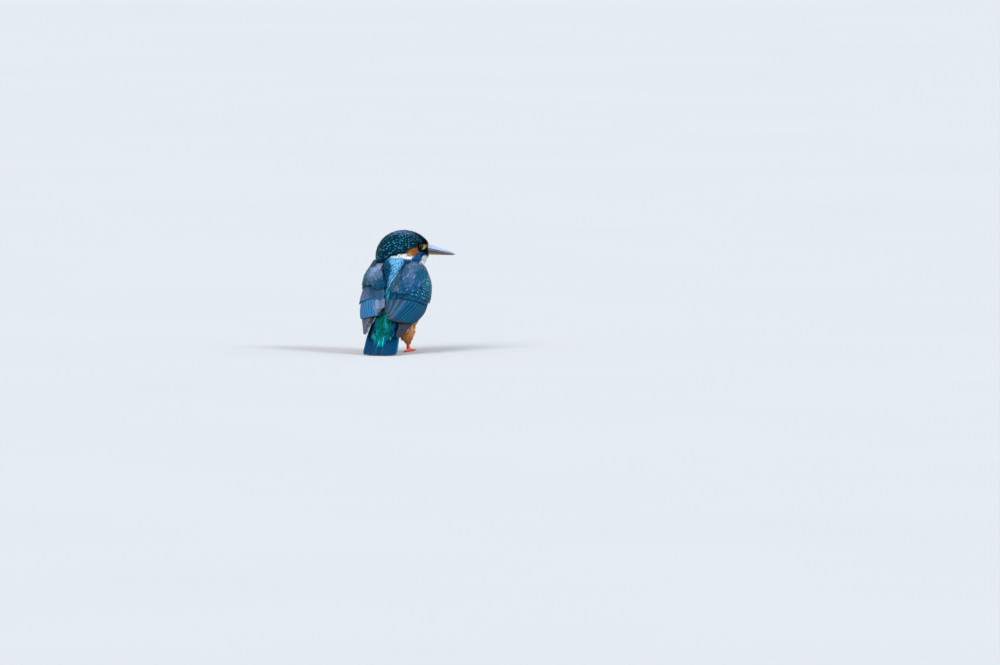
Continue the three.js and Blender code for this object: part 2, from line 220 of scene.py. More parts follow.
grid_axes, grid_points = grid_of(GRID_LOW, STEP, GRID_SIZE)


def melt(a, b, width):
    """The smaller of two distances, rounded off where they are within width of each other."""
    h = np.clip(0.5 + 0.5 * (b - a) / width, 0, 1)
    return mix(b, a, h) - width * h * (1 - h)


def oval_gap(across, out, half, depth):
    """Distance from an oval along the ray from its middle: length of (across, out) times (1 - 1 / ratio)."""
    ratio = np.sqrt((across / half) ** 2 + (out / depth) ** 2) + 1e-6
    return np.hypot(across, out) * (1 - 1 / ratio)


def on_line(table, y, z):
    """For points of the (y, z) plane: the nearest station of a table's line, the distance out from it towards
    the back, and how far the point lies beyond the line's ends."""
    t = np.linspace(table[0, 0], table[-1, 0], 240)
    line = np.stack([curve(table, 1, t), curve(table, 2, t)], -1)
    tangent = unit(np.gradient(line, axis=0))
    apart = np.stack([y, z], -1)[..., None, :] - line
    nearest = (apart**2).sum(-1).argmin(-1)
    apart = np.take_along_axis(apart, nearest[..., None, None], -2)[..., 0, :]
    ahead = (apart * tangent[nearest]).sum(-1)
    out = apart[..., 0] * tangent[nearest][..., 1] - apart[..., 1] * tangent[nearest][..., 0]
    last = nearest == len(t) - 1
    beyond = np.where(last | (nearest == 0), np.abs(ahead), 0)
    speed = np.linalg.norm(np.gradient(line, t, axis=0), axis=-1)
    return t[nearest] + np.where(beyond > 0, 0, ahead / speed[nearest]), out, beyond


def trunk_gap(x, y, z):
    """Distance from the trunk, on a grid with x along its first axis."""
    t, out, beyond = on_line(TRUNK, y, z)
    depth = np.where(out > 0, curve(TRUNK, 4, t), curve(TRUNK, 5, t))
    side = oval_gap(x[:, None, None], out, curve(TRUNK, 3, t), depth)
    return np.where(beyond > 0, np.maximum(side, beyond), side)


def head_gap(p):
    """Distance from the head: that of the ring level with the point, or past an end also from that end."""
    right, forward, up = of_head(p)
    station = np.clip(forward, HEAD[0, 0], HEAD[-1, 0])
    half, middle, above, below = head_ring(station)
    side = oval_gap(right, up - middle, half, np.where(up > middle, above, below))
    beyond = np.abs(forward - station)
    return np.where(beyond > 0, np.hypot(np.maximum(side, 0), beyond), side)


def balls_gap(p, centres, radii):
    """Distance from the nearest of a row of balls."""
    gap = np.full(p.shape[:-1], 99.0)
    for centre, radius in zip(centres, radii):
        gap = np.minimum(gap, np.linalg.norm(p - centre, axis=-1) - radius)
    return gap


def thigh_line(side):
    """Centres and radii of balls up a thigh, from just over the heel to inside the flank."""
    s = np.linspace(0, 3, 22)
    x, y, z, radius = (curve(THIGH, column, s) for column in (1, 2, 3, 4))
    return np.stack([side * x, y, z], -1), radius


TAIL = {"halves": (12.6, 13.8), "lean": 1.1, "arch": 1.6}
TAIL_ROOT, TAIL_TIP = np.array([-21, 26.5]), np.array([-43.5, 0.2])  # y and z
TAIL_LENGTH = float(np.linalg.norm(TAIL_TIP - TAIL_ROOT))
TAIL_DOWN = (TAIL_TIP - TAIL_ROOT) / TAIL_LENGTH
TAIL_OUT = np.array([TAIL_DOWN[1], -TAIL_DOWN[0]])  # square to it, away from the bird
CONE_SHARE = 0.66  # how far down the tail the soft feathers round its root run


def tail_root_size(s):
    """Half width and half thickness of the cone of soft feathers round the root of the tail, at share s of its
    length. It starts thin inside the trunk, swells to 10.5 by 4.2 mm, and ends 3 mm by 0.8 mm."""
    return mix(10.5, 3, np.maximum(s, 0) ** 1.6), np.interp(s, [-0.35, -0.1, 0.1, 1.0], [2.2, 3.6, 4.2, 0.8])


def tail_root_gap(p):
    """Distance from that flat cone, which runs over two thirds of the tail."""
    from_root = p[..., 1:] - TAIL_ROOT
    along = from_root @ TAIL_DOWN / (CONE_SHARE * TAIL_LENGTH)
    s = np.clip(along, -0.35, 1)
    across = p[..., 0] - TAIL["lean"] * CONE_SHARE * s
    side = oval_gap(across, from_root @ TAIL_OUT, *tail_root_size(s))
    beyond = np.abs(along - s) * CONE_SHARE * TAIL_LENGTH
    return np.where(beyond > 0, np.hypot(np.maximum(side, 0), beyond), side)


grid_y, grid_z = np.meshgrid(grid_axes[1], grid_axes[2], indexing="ij")
trunk_field = trunk_gap(grid_axes[0], grid_y, grid_z)
head_field = head_gap(grid_points)
thigh_field = np.minimum(*(balls_gap(grid_points, *thigh_line(side)) for side in (LEFT, RIGHT)))
raw_field = melt(trunk_field, head_field, 2.5)
raw_field = melt(raw_field, thigh_field, 2.0)
raw_field = melt(raw_field, tail_root_gap(grid_points), 1.5)
steepness = np.linalg.norm(np.stack(np.gradient(raw_field, STEP)), axis=0)
body_field = raw_field / np.clip(steepness, 0.7, 4)
print("body fills", round(float((body_field < 0).sum()) * STEP**3 / 1000, 1), "cubic centimetres")

# %% [markdown]
# ## Reading the field anywhere
# A point between grid places takes the weighted mean of the eight round it. The field's slope there is the
# way out of the body. Moved along that slope, a point comes to any height over the surface, which is how every
# feather finds the body under it.

# %% Sampling and projecting
SLOPE = np.stack(np.gradient(body_field, STEP), -1)
FIELD = np.concatenate([body_field[..., None], SLOPE], -1).astype(np.float32).reshape(-1, 4)
STRIDES = np.array([GRID_SIZE[1] * GRID_SIZE[2], GRID_SIZE[2], 1])


def sample(values, p):
    """The weighted mean of the eight grid values round each point."""
    at = np.clip((p - GRID_LOW) / STEP, 0.001, np.array(GRID_SIZE) - 1.001)
    cell = at.astype(np.int64)
    part = at - cell
    total = 0.0
    for corner in np.ndindex(2, 2, 2):
        weight = np.where(corner, part, 1 - part).prod(-1)
        total = total + weight[..., None] * values[(cell + corner) @ STRIDES]
    return total


def to_level(p, level, rounds=3):
    """Moves points along the field's slope g until their distance d is the level: p - (d - level) g / |g|^2."""
    for _ in range(rounds):
        found = sample(FIELD, p)
        slope = found[..., 1:]
        size = np.maximum((slope**2).sum(-1), 0.2)
        p = p - ((found[..., 0] - level) / size)[..., None] * slope
    return p


def outwards(p):
    """The direction straight out of the body at each point."""
    return unit(sample(FIELD, p)[..., 1:])


HEADNESS = ease(trunk_field - head_field, -3, 4).astype(np.float32).reshape(-1, 1)
THIGHNESS = ease(np.minimum(trunk_field, 4) - thigh_field, -1, 2).astype(np.float32).reshape(-1, 1)
STATIONS = np.broadcast_to(np.stack(on_line(TRUNK, grid_y, grid_z)[:2], -1), GRID_SIZE + (2,))
STATIONS = STATIONS.astype(np.float32).reshape(-1, 2)


def head_share(p):
    """1 on the head, 0 on the body, and between on the neck."""
    return sample(HEADNESS, p)[..., 0]


def stations(p):
    """Station along the body and degrees round it, with the right side positive, for points near it."""
    t, out = np.moveaxis(sample(STATIONS, p), -1, 0)
    depth = np.where(out > 0, curve(TRUNK, 4, t), curve(TRUNK, 5, t))
    return t, np.degrees(np.arctan2(p[..., 0] / curve(TRUNK, 3, t), out / depth))


# %% [markdown]
# ## Colours of the plumage
# The markings are the same on skin and feathers, so one set of rules gives the colour of any place. Each rule
# is a soft shape, such as an oval or a band, with a colour inside it. A kingfisher's blue isn't a dye: it
# shifts from cobalt to green with the angle, which we suggest with patches that differ in hue.

# %% Paints
def tint(hex_code):
    """A colour as Blender's linear red, green and blue, from six hexadecimal digits."""
    value = np.array([int(hex_code[i : i + 2], 16) for i in (0, 2, 4)]) / 255
    return np.where(value <= 0.04045, value / 12.92, ((value + 0.055) / 1.055) ** 2.4)


PAINT = {
    name: tint(code)
    for name, code in {
        "cap": "042b36", "cap_spot": "50bce8", "crown_sky_sheen": "7690be", "nape_spot": "2ca2cc", "black": "08090c",
        "lore": "fff0ac", "bill_orange": "f5a030", "rufous": "c17128", "rufous_pale": "dc9a60",
        "white": "f6fcff", "malar": "0662a4", "malar_spot": "55aef5", "azure": "7ed2ff", "azure_deep": "09558d",
        "cyan": "1eafd6", "lilac": "889ac3", "grey": "516984", "teal": "0e4e5e", "teal_green": "0f5958",
        "petrol": "05405b", "steel": "3377a8", "vane_blue": "034d6e", "vane_brown": "342a28", "quill": "272022",
        "quill_edge": "a6b4d0", "spot": "78d4f2", "rump": "017162", "rump_cyan": "19b3c5",
        "rump_blue": "084c82", "tail": "013152", "tail_edge": "1879a6", "breast": "c77130", "belly": "e58230",
        "flank": "ffc484", "olive": "4e5958", "coral": "ea4a18", "coral_dark": "8f2a12",
    }.items()
}


def oval(a, b, at, reach, lean=0.0, soft=0.35):
    """A mask that is 1 in an oval of the (a, b) plane and fades over its rim. lean turns it by degrees."""
    cos, sin = math.cos(math.radians(lean)), math.sin(math.radians(lean))
    x, y = a - at[0], b - at[1]
    distance = np.hypot((x * cos + y * sin) / reach[0], (y * cos - x * sin) / reach[1])
    return 1 - ease(distance, 1 - soft / 2, 1 + soft / 2)


def band(a, b, start, end, widths, soft=0.8):
    """A mask along the line from start to end in the (a, b) plane, whose half width runs over widths."""
    start, run = np.array(start), np.array(end) - np.array(start)
    s = np.clip(((a - start[0]) * run[0] + (b - start[1]) * run[1]) / (run @ run), 0, 1)
    distance = np.hypot(a - start[0] - s * run[0], b - start[1] - s * run[1])
    return 1 - ease(distance - mix(widths[0], widths[1], s), -soft / 2, soft / 2)


def lay(colour, *coats):
    """Lays coats over a colour. Each is a paint, by name or as three numbers, and the mask of where it goes."""
    for paint, mask in coats:
        colour = mix(colour, PAINT[paint] if isinstance(paint, str) else paint, mask[..., None])
    return colour


def waves(p, size, seed):
    """Slow variation from -1 to 1 over the body: the mean of six sines in directions set by the seed."""
    rng = np.random.default_rng(seed)
    directions = unit(rng.normal(size=(6, 3))) * (2 * math.pi / size)
    phases = rng.uniform(0, 2 * math.pi, 6)
    return np.sin(p @ directions.T + phases).mean(-1) * 1.7


# stations down the back, and there the middle and half width of the azure stripe in degrees
STRIPE = np.array([[0.08, 0.15, 0.24, 0.3, 0.42, 0.7], [3, 8, 8, 3, -1, -3], [19, 13, 9, 6.5, 3.5, 4.5]])


def body_colours(p):
    """Colours of trunk, thighs and tail root: rust below, azure to cyan down the back, green on the rump."""
    t, angle = stations(p)
    wide = np.abs(angle)
    back = 1 - ease(wide, 92, 106)
    past_stripe = np.abs(angle - np.interp(t, STRIPE[0], STRIPE[1])) - np.interp(t, STRIPE[0], STRIPE[2])
    stripe = 1 - ease(past_stripe, -3, 3)
    rump = ease(t, 0.66, 0.78) * back
    streaks = np.clip(waves(p * [1, 0.25, 0.25], 3.2, 8), 0, 1)
    return lay(
        PAINT["breast"],
        ("belly", ease(t, 0.4, 0.75)),
        ("flank", 0.95 * oval(t, wide, (0.72, 105), (0.34, 24), soft=1.3)),
        ("flank", 0.6 * sample(THIGHNESS, p)[..., 0]),
        ("teal", back),
        ("azure_deep", 1 - ease(past_stripe, 2, 14)),
        ("azure", stripe * (0.8 + 0.2 * waves(p, 6, 3))),
        ("cyan", stripe * ease(t, 0.4, 0.5)),
        ("rump", rump),
        ("rump_blue", rump * ease(wide, 22, 50)),
        ("rump_cyan", rump * streaks * (1 - ease(wide, 20, 45))),
        ("rump_blue", rump * ease(p[..., 2], 17, 9) * 0.7),
    )


# how far forward, and there the height of the upper edge of the white patch on the neck
NECK_PATCH = ([-20, -16, -13.5, -12, -4, 2, 8, 14], [-19.5, -18.5, -13, -11.6, -7.2, -6.4, -8, -6.5])
# the same for the line where the head's colours end
COLLAR = (
    [-22, -17, -13.5, -8, -3, 4, 11, 14, 17, 24],
    [-20, -18, -12.8, -11.6, -10.9, -10.9, -11.6, -14, -17, -17],
)


def head_colours(p):
    """Colours of the head, by place right, forward and up of its centre. Both cheeks are alike, but the white
    patch lies 5 mm further back on the left."""
    r, f, u = of_head(p)
    # Painted reflection: a lilac-blue sky sheen over the crown's upper rim, reaching further down on the left.
    sheen = ease(u - 0.5 * r, 2, 9) * (1 - ease(f, 3, 11)) * np.clip(0.65 + waves(p, 2.2, 5), 0, 1)
    patch_edge = np.interp(f + 5 * ease(-r, 2, 8), *NECK_PATCH)
    return lay(
        PAINT["cap"],
        ("crown_sky_sheen", sheen),
        ("white", 1 - ease(u - patch_edge, -0.4, 0.4)),
        ("black", band(f, u, (-13, -9.6), (1, -5.6), (0.5, 0.4))),
        ("rufous", oval(f, u, (6.6, -4.2), (6.3, 3.1), lean=21)),
        ("rufous_pale", oval(f, u, (3.4, -6.6), (2.6, 1.3), lean=40)),
        ("malar", band(f, u, (19.5, -4.4), (13.6, -4.6), (1.3, 2.0))),
        ("malar", band(f, u, (13.6, -4.6), (8.0, -11.6), (2.0, 3.8))),
        ("white", oval(f, u, (19.8, -11.2), (6.3, 6.3), soft=0.15)),
        ("black", band(f, u, (16.4, -4.6), (13.4, -9.6), (0.7, 0.6))),
        ("black", oval(f, u, (19, 6.2), (4.2, 3.4))),
        ("black", oval(f, u, (12.0, 1.0), (3.5, 3.7), soft=0.25)),
        ("black", band(f, u, (18.5, -1.6), (11, -2.2), (1.5, 0.9))),
        ("lore", band(f, u, (14.9, 0.9), (19.0, 2.6), (2.0, 1.1))),
        ("bill_orange", oval(f, u, (19.9, 2.9), (1.9, 1.2))),
    )


def plumage(p):
    """The colour of any place on the bird's skin or in its coat: the head's above the collar."""
    _, f, u = of_head(p)
    above = ease(u - np.interp(f, *COLLAR), -0.5, 0.5)
    return lay(body_colours(p), (head_colours(p), above))


# %% [markdown]
# ## Putting a surface into Blender
# Every piece is points and faces worked out as whole arrays. One helper turns them into a mesh with attributes,
# so the metre scale and the shift to the frame's origin are written only once.

# %% The mesh maker
def mesh_piece(name, points, faces, material, colours=None, vectors=None, floats=None, uv=None):
    """A mesh from points in millimetres and faces given as an array or a list of arrays. colours, vectors and
    floats are attributes with a value for each point; uv is a place on the map OFBake for each point."""
    groups = faces if isinstance(faces, list) else [faces]
    corners = np.concatenate([group.ravel() for group in groups]).astype(np.int32)
    sizes = np.concatenate([np.full(len(group), group.shape[1]) for group in groups])
    mesh = bpy.data.meshes.new(name)
    mesh.vertices.add(len(points))
    mesh.vertices.foreach_set("co", ((points + SHIFT) / 1000).astype(np.float32).ravel())
    mesh.loops.add(len(corners))
    mesh.loops.foreach_set("vertex_index", corners)
    mesh.polygons.add(len(sizes))
    mesh.polygons.foreach_set("loop_start", np.concatenate([[0], np.cumsum(sizes)[:-1]]).astype(np.int32))
    for given, kind, field in (
        (colours, "FLOAT_COLOR", "color"), (vectors, "FLOAT_VECTOR", "vector"), (floats, "FLOAT", "value"),
    ):
        for label, values in (given or {}).items():
            layer = mesh.attributes.new(label, kind, "POINT")
            layer.data.foreach_set(field, values.astype(np.float32).ravel())
    if uv is not None:
        layer = mesh.uv_layers.new(name="OFBake", do_init=False)
        layer.uv.foreach_set("vector", uv[corners].astype(np.float32).ravel())
    mesh.update(calc_edges=True)
    mesh.validate()
    mesh.polygons.foreach_set("use_smooth", np.ones(len(mesh.polygons), bool))
    mesh.materials.append(material)
    piece = bpy.data.objects.new(name, mesh)
    bpy.context.scene.collection.objects.link(piece)
    return piece


def opaque(colour):
    """A colour array with a fourth column of ones."""
    return np.concatenate([colour, np.ones(colour.shape[:-1] + (1,))], -1)


def settle(piece, slot, *nodes):
    """Rides the piece on the bird and hides the plain nodes it stands for. slot is not used."""
    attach(piece, "root")
    if nodes:
        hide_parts(*nodes)
    triangles = len(piece.data.loops) - 2 * len(piece.data.polygons)
    print(piece.name, "has", triangles, "triangles")
    return piece


# %% [markdown]
# ## Feather materials
# A feather's vane is made of fine barbs that slant out from its shaft. The barbs give two things: thin ridges
# that catch the light, and streaks where they part. One node group makes both from the attribute "lie",
# which holds millimetres across from the shaft, millimetres from the tip, and a number of the feather's own.

# %% Node helpers and the barb group
def node(tree, kind, inputs=None, **settings):
    """Adds a node, sets its own properties, then its inputs by name or number, from values or sockets."""
    made = tree.nodes.new(kind)
    for key, value in settings.items():
        setattr(made, key, value)
    for key, value in (inputs or {}).items():
        if isinstance(value, bpy.types.NodeSocket):
            tree.links.new(value, made.inputs[key])
        else:
            made.inputs[key].default_value = value
    return made


def maths(tree, operation, *values):
    """One step of arithmetic on numbers or sockets."""
    return node(tree, "ShaderNodeMath", dict(enumerate(values)), operation=operation).outputs[0]


def blend_colour(tree, factor, first, second, kind="MIX"):
    """Mixes two colours by a factor. The node takes colours at inputs 6 and 7 and gives one at output 2."""
    given = {0: factor, 6: first, 7: second}
    return node(tree, "ShaderNodeMix", given, data_type="RGBA", blend_type=kind).outputs[2]


def times_grey(tree, colour, factor):
    """A colour, all of it multiplied by a factor."""
    return blend_colour(tree, 1.0, colour, (factor, factor, factor, 1), "MULTIPLY")


def attribute(tree, name):
    """The outputs Color, Vector, Fac and Alpha of an attribute of the mesh."""
    return node(tree, "ShaderNodeAttribute", attribute_name=name).outputs


def ramp(tree, value, low, high):
    """0 up to low, 1 from high on, and a straight line between."""
    return node(tree, "ShaderNodeMapRange", {"Value": value, "From Min": low, "From Max": high}).outputs[0]


def stretched_noise(tree, *axes, detail=2.0):
    """Noise at a place whose numbers are sockets, each times a factor: the larger, the finer that way."""
    place = {i: maths(tree, "MULTIPLY", socket, factor) for i, (socket, factor) in enumerate(axes)}
    place = node(tree, "ShaderNodeCombineXYZ", place).outputs[0]
    return node(tree, "ShaderNodeTexNoise", {"Vector": place, "Scale": 1.0, "Detail": detail}).outputs["Fac"]


def speckle(tree, scale, first, second, share=1.0):
    """Two colours mixed by noise that stands still on the object, with no more than a share of the second."""
    place = node(tree, "ShaderNodeTexCoord").outputs["Object"]
    noise = node(tree, "ShaderNodeTexNoise", {"Vector": place, "Scale": scale}).outputs["Fac"]
    return blend_colour(tree, maths(tree, "MULTIPLY", noise, share), first, second)


barbs = bpy.data.node_groups.new("barbs", "ShaderNodeTree")
for direction, kind, labels in (
    ("INPUT", "NodeSocketVector", ["Lie"]),
    ("INPUT", "NodeSocketFloat", ["Slant", "Pitch"]),
    ("OUTPUT", "NodeSocketFloat", ["Ridge", "Streak", "Patch"]),
):
    for label in labels:
        barbs.interface.new_socket(label, in_out=direction, socket_type=kind)
barbs_in, barbs_out = barbs.nodes.new("NodeGroupInput"), barbs.nodes.new("NodeGroupOutput")
across, from_tip, own = node(barbs, "ShaderNodeSeparateXYZ", {0: barbs_in.outputs["Lie"]}).outputs
out_from_shaft = maths(barbs, "ABSOLUTE", across)
slanted = maths(barbs, "MULTIPLY", out_from_shaft, barbs_in.outputs["Slant"])
along_barb = maths(barbs, "ADD", from_tip, slanted)
turns_of_ridge = maths(barbs, "DIVIDE", along_barb, barbs_in.outputs["Pitch"])
ridge = maths(barbs, "SINE", maths(barbs, "MULTIPLY", turns_of_ridge, 2 * math.pi))
streak_noise = stretched_noise(barbs, (across, 4.5), (from_tip, 0.45), (own, 53), detail=3.0)
patch_noise = stretched_noise(barbs, (along_barb, 2.2), (out_from_shaft, 0.35), (own, 31))
barbs.links.new(ridge, barbs_out.inputs["Ridge"])
barbs.links.new(ramp(barbs, streak_noise, 0.3, 0.7), barbs_out.inputs["Streak"])
barbs.links.new(ramp(barbs, patch_noise, 0.35, 0.65), barbs_out.inputs["Patch"])
print("barb group has", len(barbs.nodes), "nodes")

# %% [markdown]
# Four finishes use the group. Blue body feathers are silky and shine blue, warm ones are matt, and white ones
# almost smooth. Stiff flight feathers show a dark shaft. Any of them wears a spot near its tip where the
# attribute "spot" gives one: its colour, and its radius in millimetres as the fourth number.

# %% The feather finishes
def shader(name, **constants):
    """A new material, whose Principled shader has these constants, and its node tree."""
    material = bpy.data.materials.new(name)
    material.use_nodes = True
    inputs = material.node_tree.nodes["Principled BSDF"].inputs
    for label, value in constants.items():
        inputs[label.replace("_", " ")].default_value = value
    return material, material.node_tree


def wear(tree, colour, rough=None, height=None, strength=1.0, distance=0.0):
    """Joins a colour to the shader and, where given, its roughness and the height of its bumps, which are
    distance metres deep."""
    inputs = tree.nodes["Principled BSDF"].inputs
    tree.links.new(colour, inputs["Base Color"])
    if rough is not None:
        tree.links.new(rough, inputs["Roughness"])
    if height is not None:
        relief = node(tree, "ShaderNodeBump", {"Strength": strength, "Distance": distance, "Height": height})
        tree.links.new(relief.outputs[0], inputs["Normal"])


def speckled(name, scale, first, second, **constants):
    """A plain finish of two speckled colours, three numbers each."""
    material, tree = shader(name, **constants)
    wear(tree, speckle(tree, scale, (*first, 1), (*second, 1)))
    return material


def plume_material(name, shaft, bump, streaks, **constants):
    """A feather finish. shaft is how dark the shaft shows, bump the height of the ridges in millimetres,
    and streaks how far the parted barbs darken it."""
    material, tree = shader(name, **constants)
    lie = attribute(tree, "lie")["Vector"]
    base = attribute(tree, "colour")["Color"]
    spot = attribute(tree, "spot")
    vane = node(tree, "ShaderNodeGroup", {"Lie": lie, "Slant": 0.9, "Pitch": 0.22}, node_tree=barbs).outputs
    side, tip, _ = node(tree, "ShaderNodeSeparateXYZ", {0: lie}).outputs
    dark, bright = times_grey(tree, base, 1 - streaks), times_grey(tree, base, 1 + 0.5 * streaks)
    colour = blend_colour(tree, vane["Streak"], dark, bright)
    radius = spot["Alpha"]
    down = maths(tree, "DIVIDE", maths(tree, "SUBTRACT", tip, maths(tree, "MULTIPLY", radius, 1.9)), 1.5)
    squares = [maths(tree, "MULTIPLY", part, part) for part in (side, down)]
    away = maths(tree, "SQRT", maths(tree, "ADD", *squares))
    in_spot = ramp(tree, maths(tree, "SUBTRACT", radius, away), -0.05, 0.2)
    has_spot = ramp(tree, radius, 0.05, 0.15)
    on_shaft = ramp(tree, maths(tree, "ABSOLUTE", side), 0.16, 0.05)
    colour = blend_colour(tree, maths(tree, "MULTIPLY", on_shaft, shaft), colour, (0.004, 0.003, 0.003, 1))
    colour = blend_colour(tree, maths(tree, "MULTIPLY", in_spot, has_spot), colour, spot["Color"])
    height = maths(tree, "ADD", maths(tree, "MULTIPLY", vane["Ridge"], 0.35), vane["Streak"])
    rough = maths(tree, "ADD", maths(tree, "MULTIPLY", vane["Patch"], 0.14), constants["Roughness"] - 0.07)
    wear(tree, colour, rough, height, distance=bump / 1000)
    return material


soft_plume = plume_material(
    "soft plumage", shaft=0.0, bump=0.045, streaks=0.32, Roughness=0.55, Specular_IOR_Level=0.25,
    Specular_Tint=(0.06, 0.5, 1.0, 1), Sheen_Weight=0.03, Sheen_Roughness=0.25, Sheen_Tint=(0.4, 0.55, 1.0, 1),
)
warm_plume = plume_material(
    "warm plumage", shaft=0.0, bump=0.07, streaks=0.25, Roughness=0.7, Specular_IOR_Level=0.2,
    Sheen_Weight=0.06, Sheen_Roughness=0.4, Sheen_Tint=(1.0, 0.95, 0.88, 1),
)
white_plume = plume_material(
    "white plumage", shaft=0.0, bump=0.015, streaks=0.08, Roughness=0.75, Specular_IOR_Level=0.15,
)
stiff_plume = plume_material(
    "stiff plumage", shaft=0.8, bump=0.05, streaks=0.3, Roughness=0.55, Specular_IOR_Level=0.2,
    Specular_Tint=(0.08, 0.5, 1.0, 1),
)

# %% [markdown]
# ## The skin
# Under the feathers lies one skin. Where the field, sunk by the depth of the coat, changes sign between two
# grid places, the skin passes through that cell. A point goes into each such cell, at the mean of the
# crossings on its edges, and four cells round each crossed edge make a face. This is called a surface net, and
# it closes head, neck, trunk and thighs into one skin with no seam.

# %% Surface net
def coat_depth(p):
    """How deep the skin lies under the tips of the feathers: 0.9 mm on head and thighs, else 1.8 mm."""
    return mix(mix(1.8, 0.9, head_share(p)), 0.9, sample(THIGHNESS, p)[..., 0])


def surface_net(field, step=STEP, grid_low=GRID_LOW):
    """Points and four-sided faces of the level 0 of a grid of values, given its spacing and lowest corner."""
    inside = field < 0
    cells = tuple(n - 1 for n in field.shape)
    corner = {c: tuple(slice(o, o + n) for o, n in zip(c, cells)) for c in np.ndindex(2, 2, 2)}
    total, count = np.zeros(cells + (3,)), np.zeros(cells)
    for low in corner:
        for axis in range(3):
            if low[axis]:
                continue
            high = tuple(1 if i == axis else o for i, o in enumerate(low))
            crossed = inside[corner[low]] != inside[corner[high]]
            a, b = field[corner[low]], field[corner[high]]
            part = np.where(crossed, a / np.where(crossed, a - b, 1), 0)
            place = np.array(low, float) + part[..., None] * (np.array(high) - np.array(low))
            total += place * crossed[..., None]
            count += crossed
    used = count > 0
    number = np.full(cells, -1)
    number[used] = np.arange(used.sum())
    points = (np.argwhere(used) + total[used] / count[used][:, None]) * step + grid_low
    faces = []
    for axis in range(3):
        starts = inside[tuple(slice(i != axis, n) for i, n in enumerate(cells))]
        ends = inside[tuple(slice(1, n + (i == axis)) for i, n in enumerate(cells))]
        at = np.argwhere(starts != ends) + (np.arange(3) != axis)
        outward = starts[starts != ends]
        ring = []
        for back in ((1, 1), (0, 1), (0, 0), (1, 0)):
            cell = at.copy()
            cell[:, [(axis + 1) % 3, (axis + 2) % 3]] -= back
            ring.append(number[tuple(cell.T)])
        quads = np.stack(ring, -1)
        faces.append(np.where(outward[:, None], quads, quads[:, ::-1]))
    return points, np.concatenate(faces)


skin_points, skin_faces = surface_net(body_field + coat_depth(grid_points))
skin_points = to_level(skin_points, -coat_depth(skin_points), rounds=2)
print("skin has", len(skin_points), "points and", len(skin_faces), "faces")

# %% [markdown]
# The skin wears the same colours as the coat, painted darker as the shade under the feathers, with small bumps
# where feathers grow out. Its unwrap is cut into flat islands, and every feather of the coat keeps its place on
# it for baking.

# %% Skin piece
def skin_material():
    """Downy skin: its colour attribute, darkened to between 0.35 and 0.75 of it as painted shade under the
    coat, most in small pits 0.4 mm apart.
    """
    material, tree = shader("downy skin", Roughness=0.85, Specular_IOR_Level=0.2, Sheen_Weight=0.2)
    place = node(tree, "ShaderNodeTexCoord").outputs["Object"]
    pits = node(tree, "ShaderNodeTexVoronoi", {"Vector": place, "Scale": 2600.0})
    down = ramp(tree, pits.outputs["Distance"], 0.0, 0.6)
    base = attribute(tree, "colour")["Color"]
    colour = blend_colour(tree, down, times_grey(tree, base, 0.35), times_grey(tree, base, 0.75))
    wear(tree, colour, height=down, strength=0.6, distance=0.0002)
    return material


skin = mesh_piece("skin", skin_points, skin_faces, skin_material(), {"colour": opaque(plumage(skin_points))})
bpy.context.view_layer.objects.active = skin
skin.select_set(True)
bpy.ops.object.mode_set(mode="EDIT")
bpy.ops.mesh.select_all(action="SELECT")
bpy.ops.uv.smart_project(angle_limit=1.15, island_margin=0.004, scale_to_bounds=True)
bpy.ops.object.mode_set(mode="OBJECT")
skin.data.uv_layers.active.name = "OFBake"
skin_uv = np.empty(len(skin.data.loops) * 2, np.float32)
skin.data.uv_layers["OFBake"].uv.foreach_get("vector", skin_uv)
loop_point = np.empty(len(skin.data.loops), np.int32)
skin.data.loops.foreach_get("vertex_index", loop_point)
point_uv = np.zeros((len(skin_points), 2))
point_uv[loop_point] = skin_uv.reshape(-1, 2)
settle(skin, "back_feathers", "head", "neck", "trunk", "thigh_left", "thigh_right", "tail_coverts")


def place_on_skin(p):
    """Each point's place on the skin's unwrap: that of the nearest of the skin's points."""
    squares = (skin_points**2).sum(1)
    parts = np.array_split(p, max(1, len(p) // 500))
    return point_uv[np.concatenate([(squares - 2 * part @ skin_points.T).argmin(1) for part in parts])]


# %% [markdown]
# ## One vane
# Every feather, from a speck on the face to a tail feather, is the same thin closed shape: a line on the
# body, a width that changes along it, a little camber, and an upper and a lower face that meet at the edges.

# %% Vanes as closed thin shapes
def tube(rings, ring):
    """Four-sided faces between neighbouring rings of a tube whose points are ordered ring by ring."""
    j = np.arange(ring)
    quads = np.stack([j, (j + 1) % ring, (j + 1) % ring + ring, j + ring], -1)
    return (np.arange(rings - 1)[:, None, None] * ring + quads).reshape(-1, 4)


def upright(points, groups):
    """Turns all faces over if the volume of the closed shape, summed over its faces, comes out negative."""
    middle = points.mean(0)
    volume = 0.0
    for group in groups:
        a, b, c = (points[group[:, i]] - middle for i in range(3))
        volume += np.einsum("ij,ij", a, np.cross(b, c))
    return groups if volume > 0 else [group[:, ::-1] for group in groups]


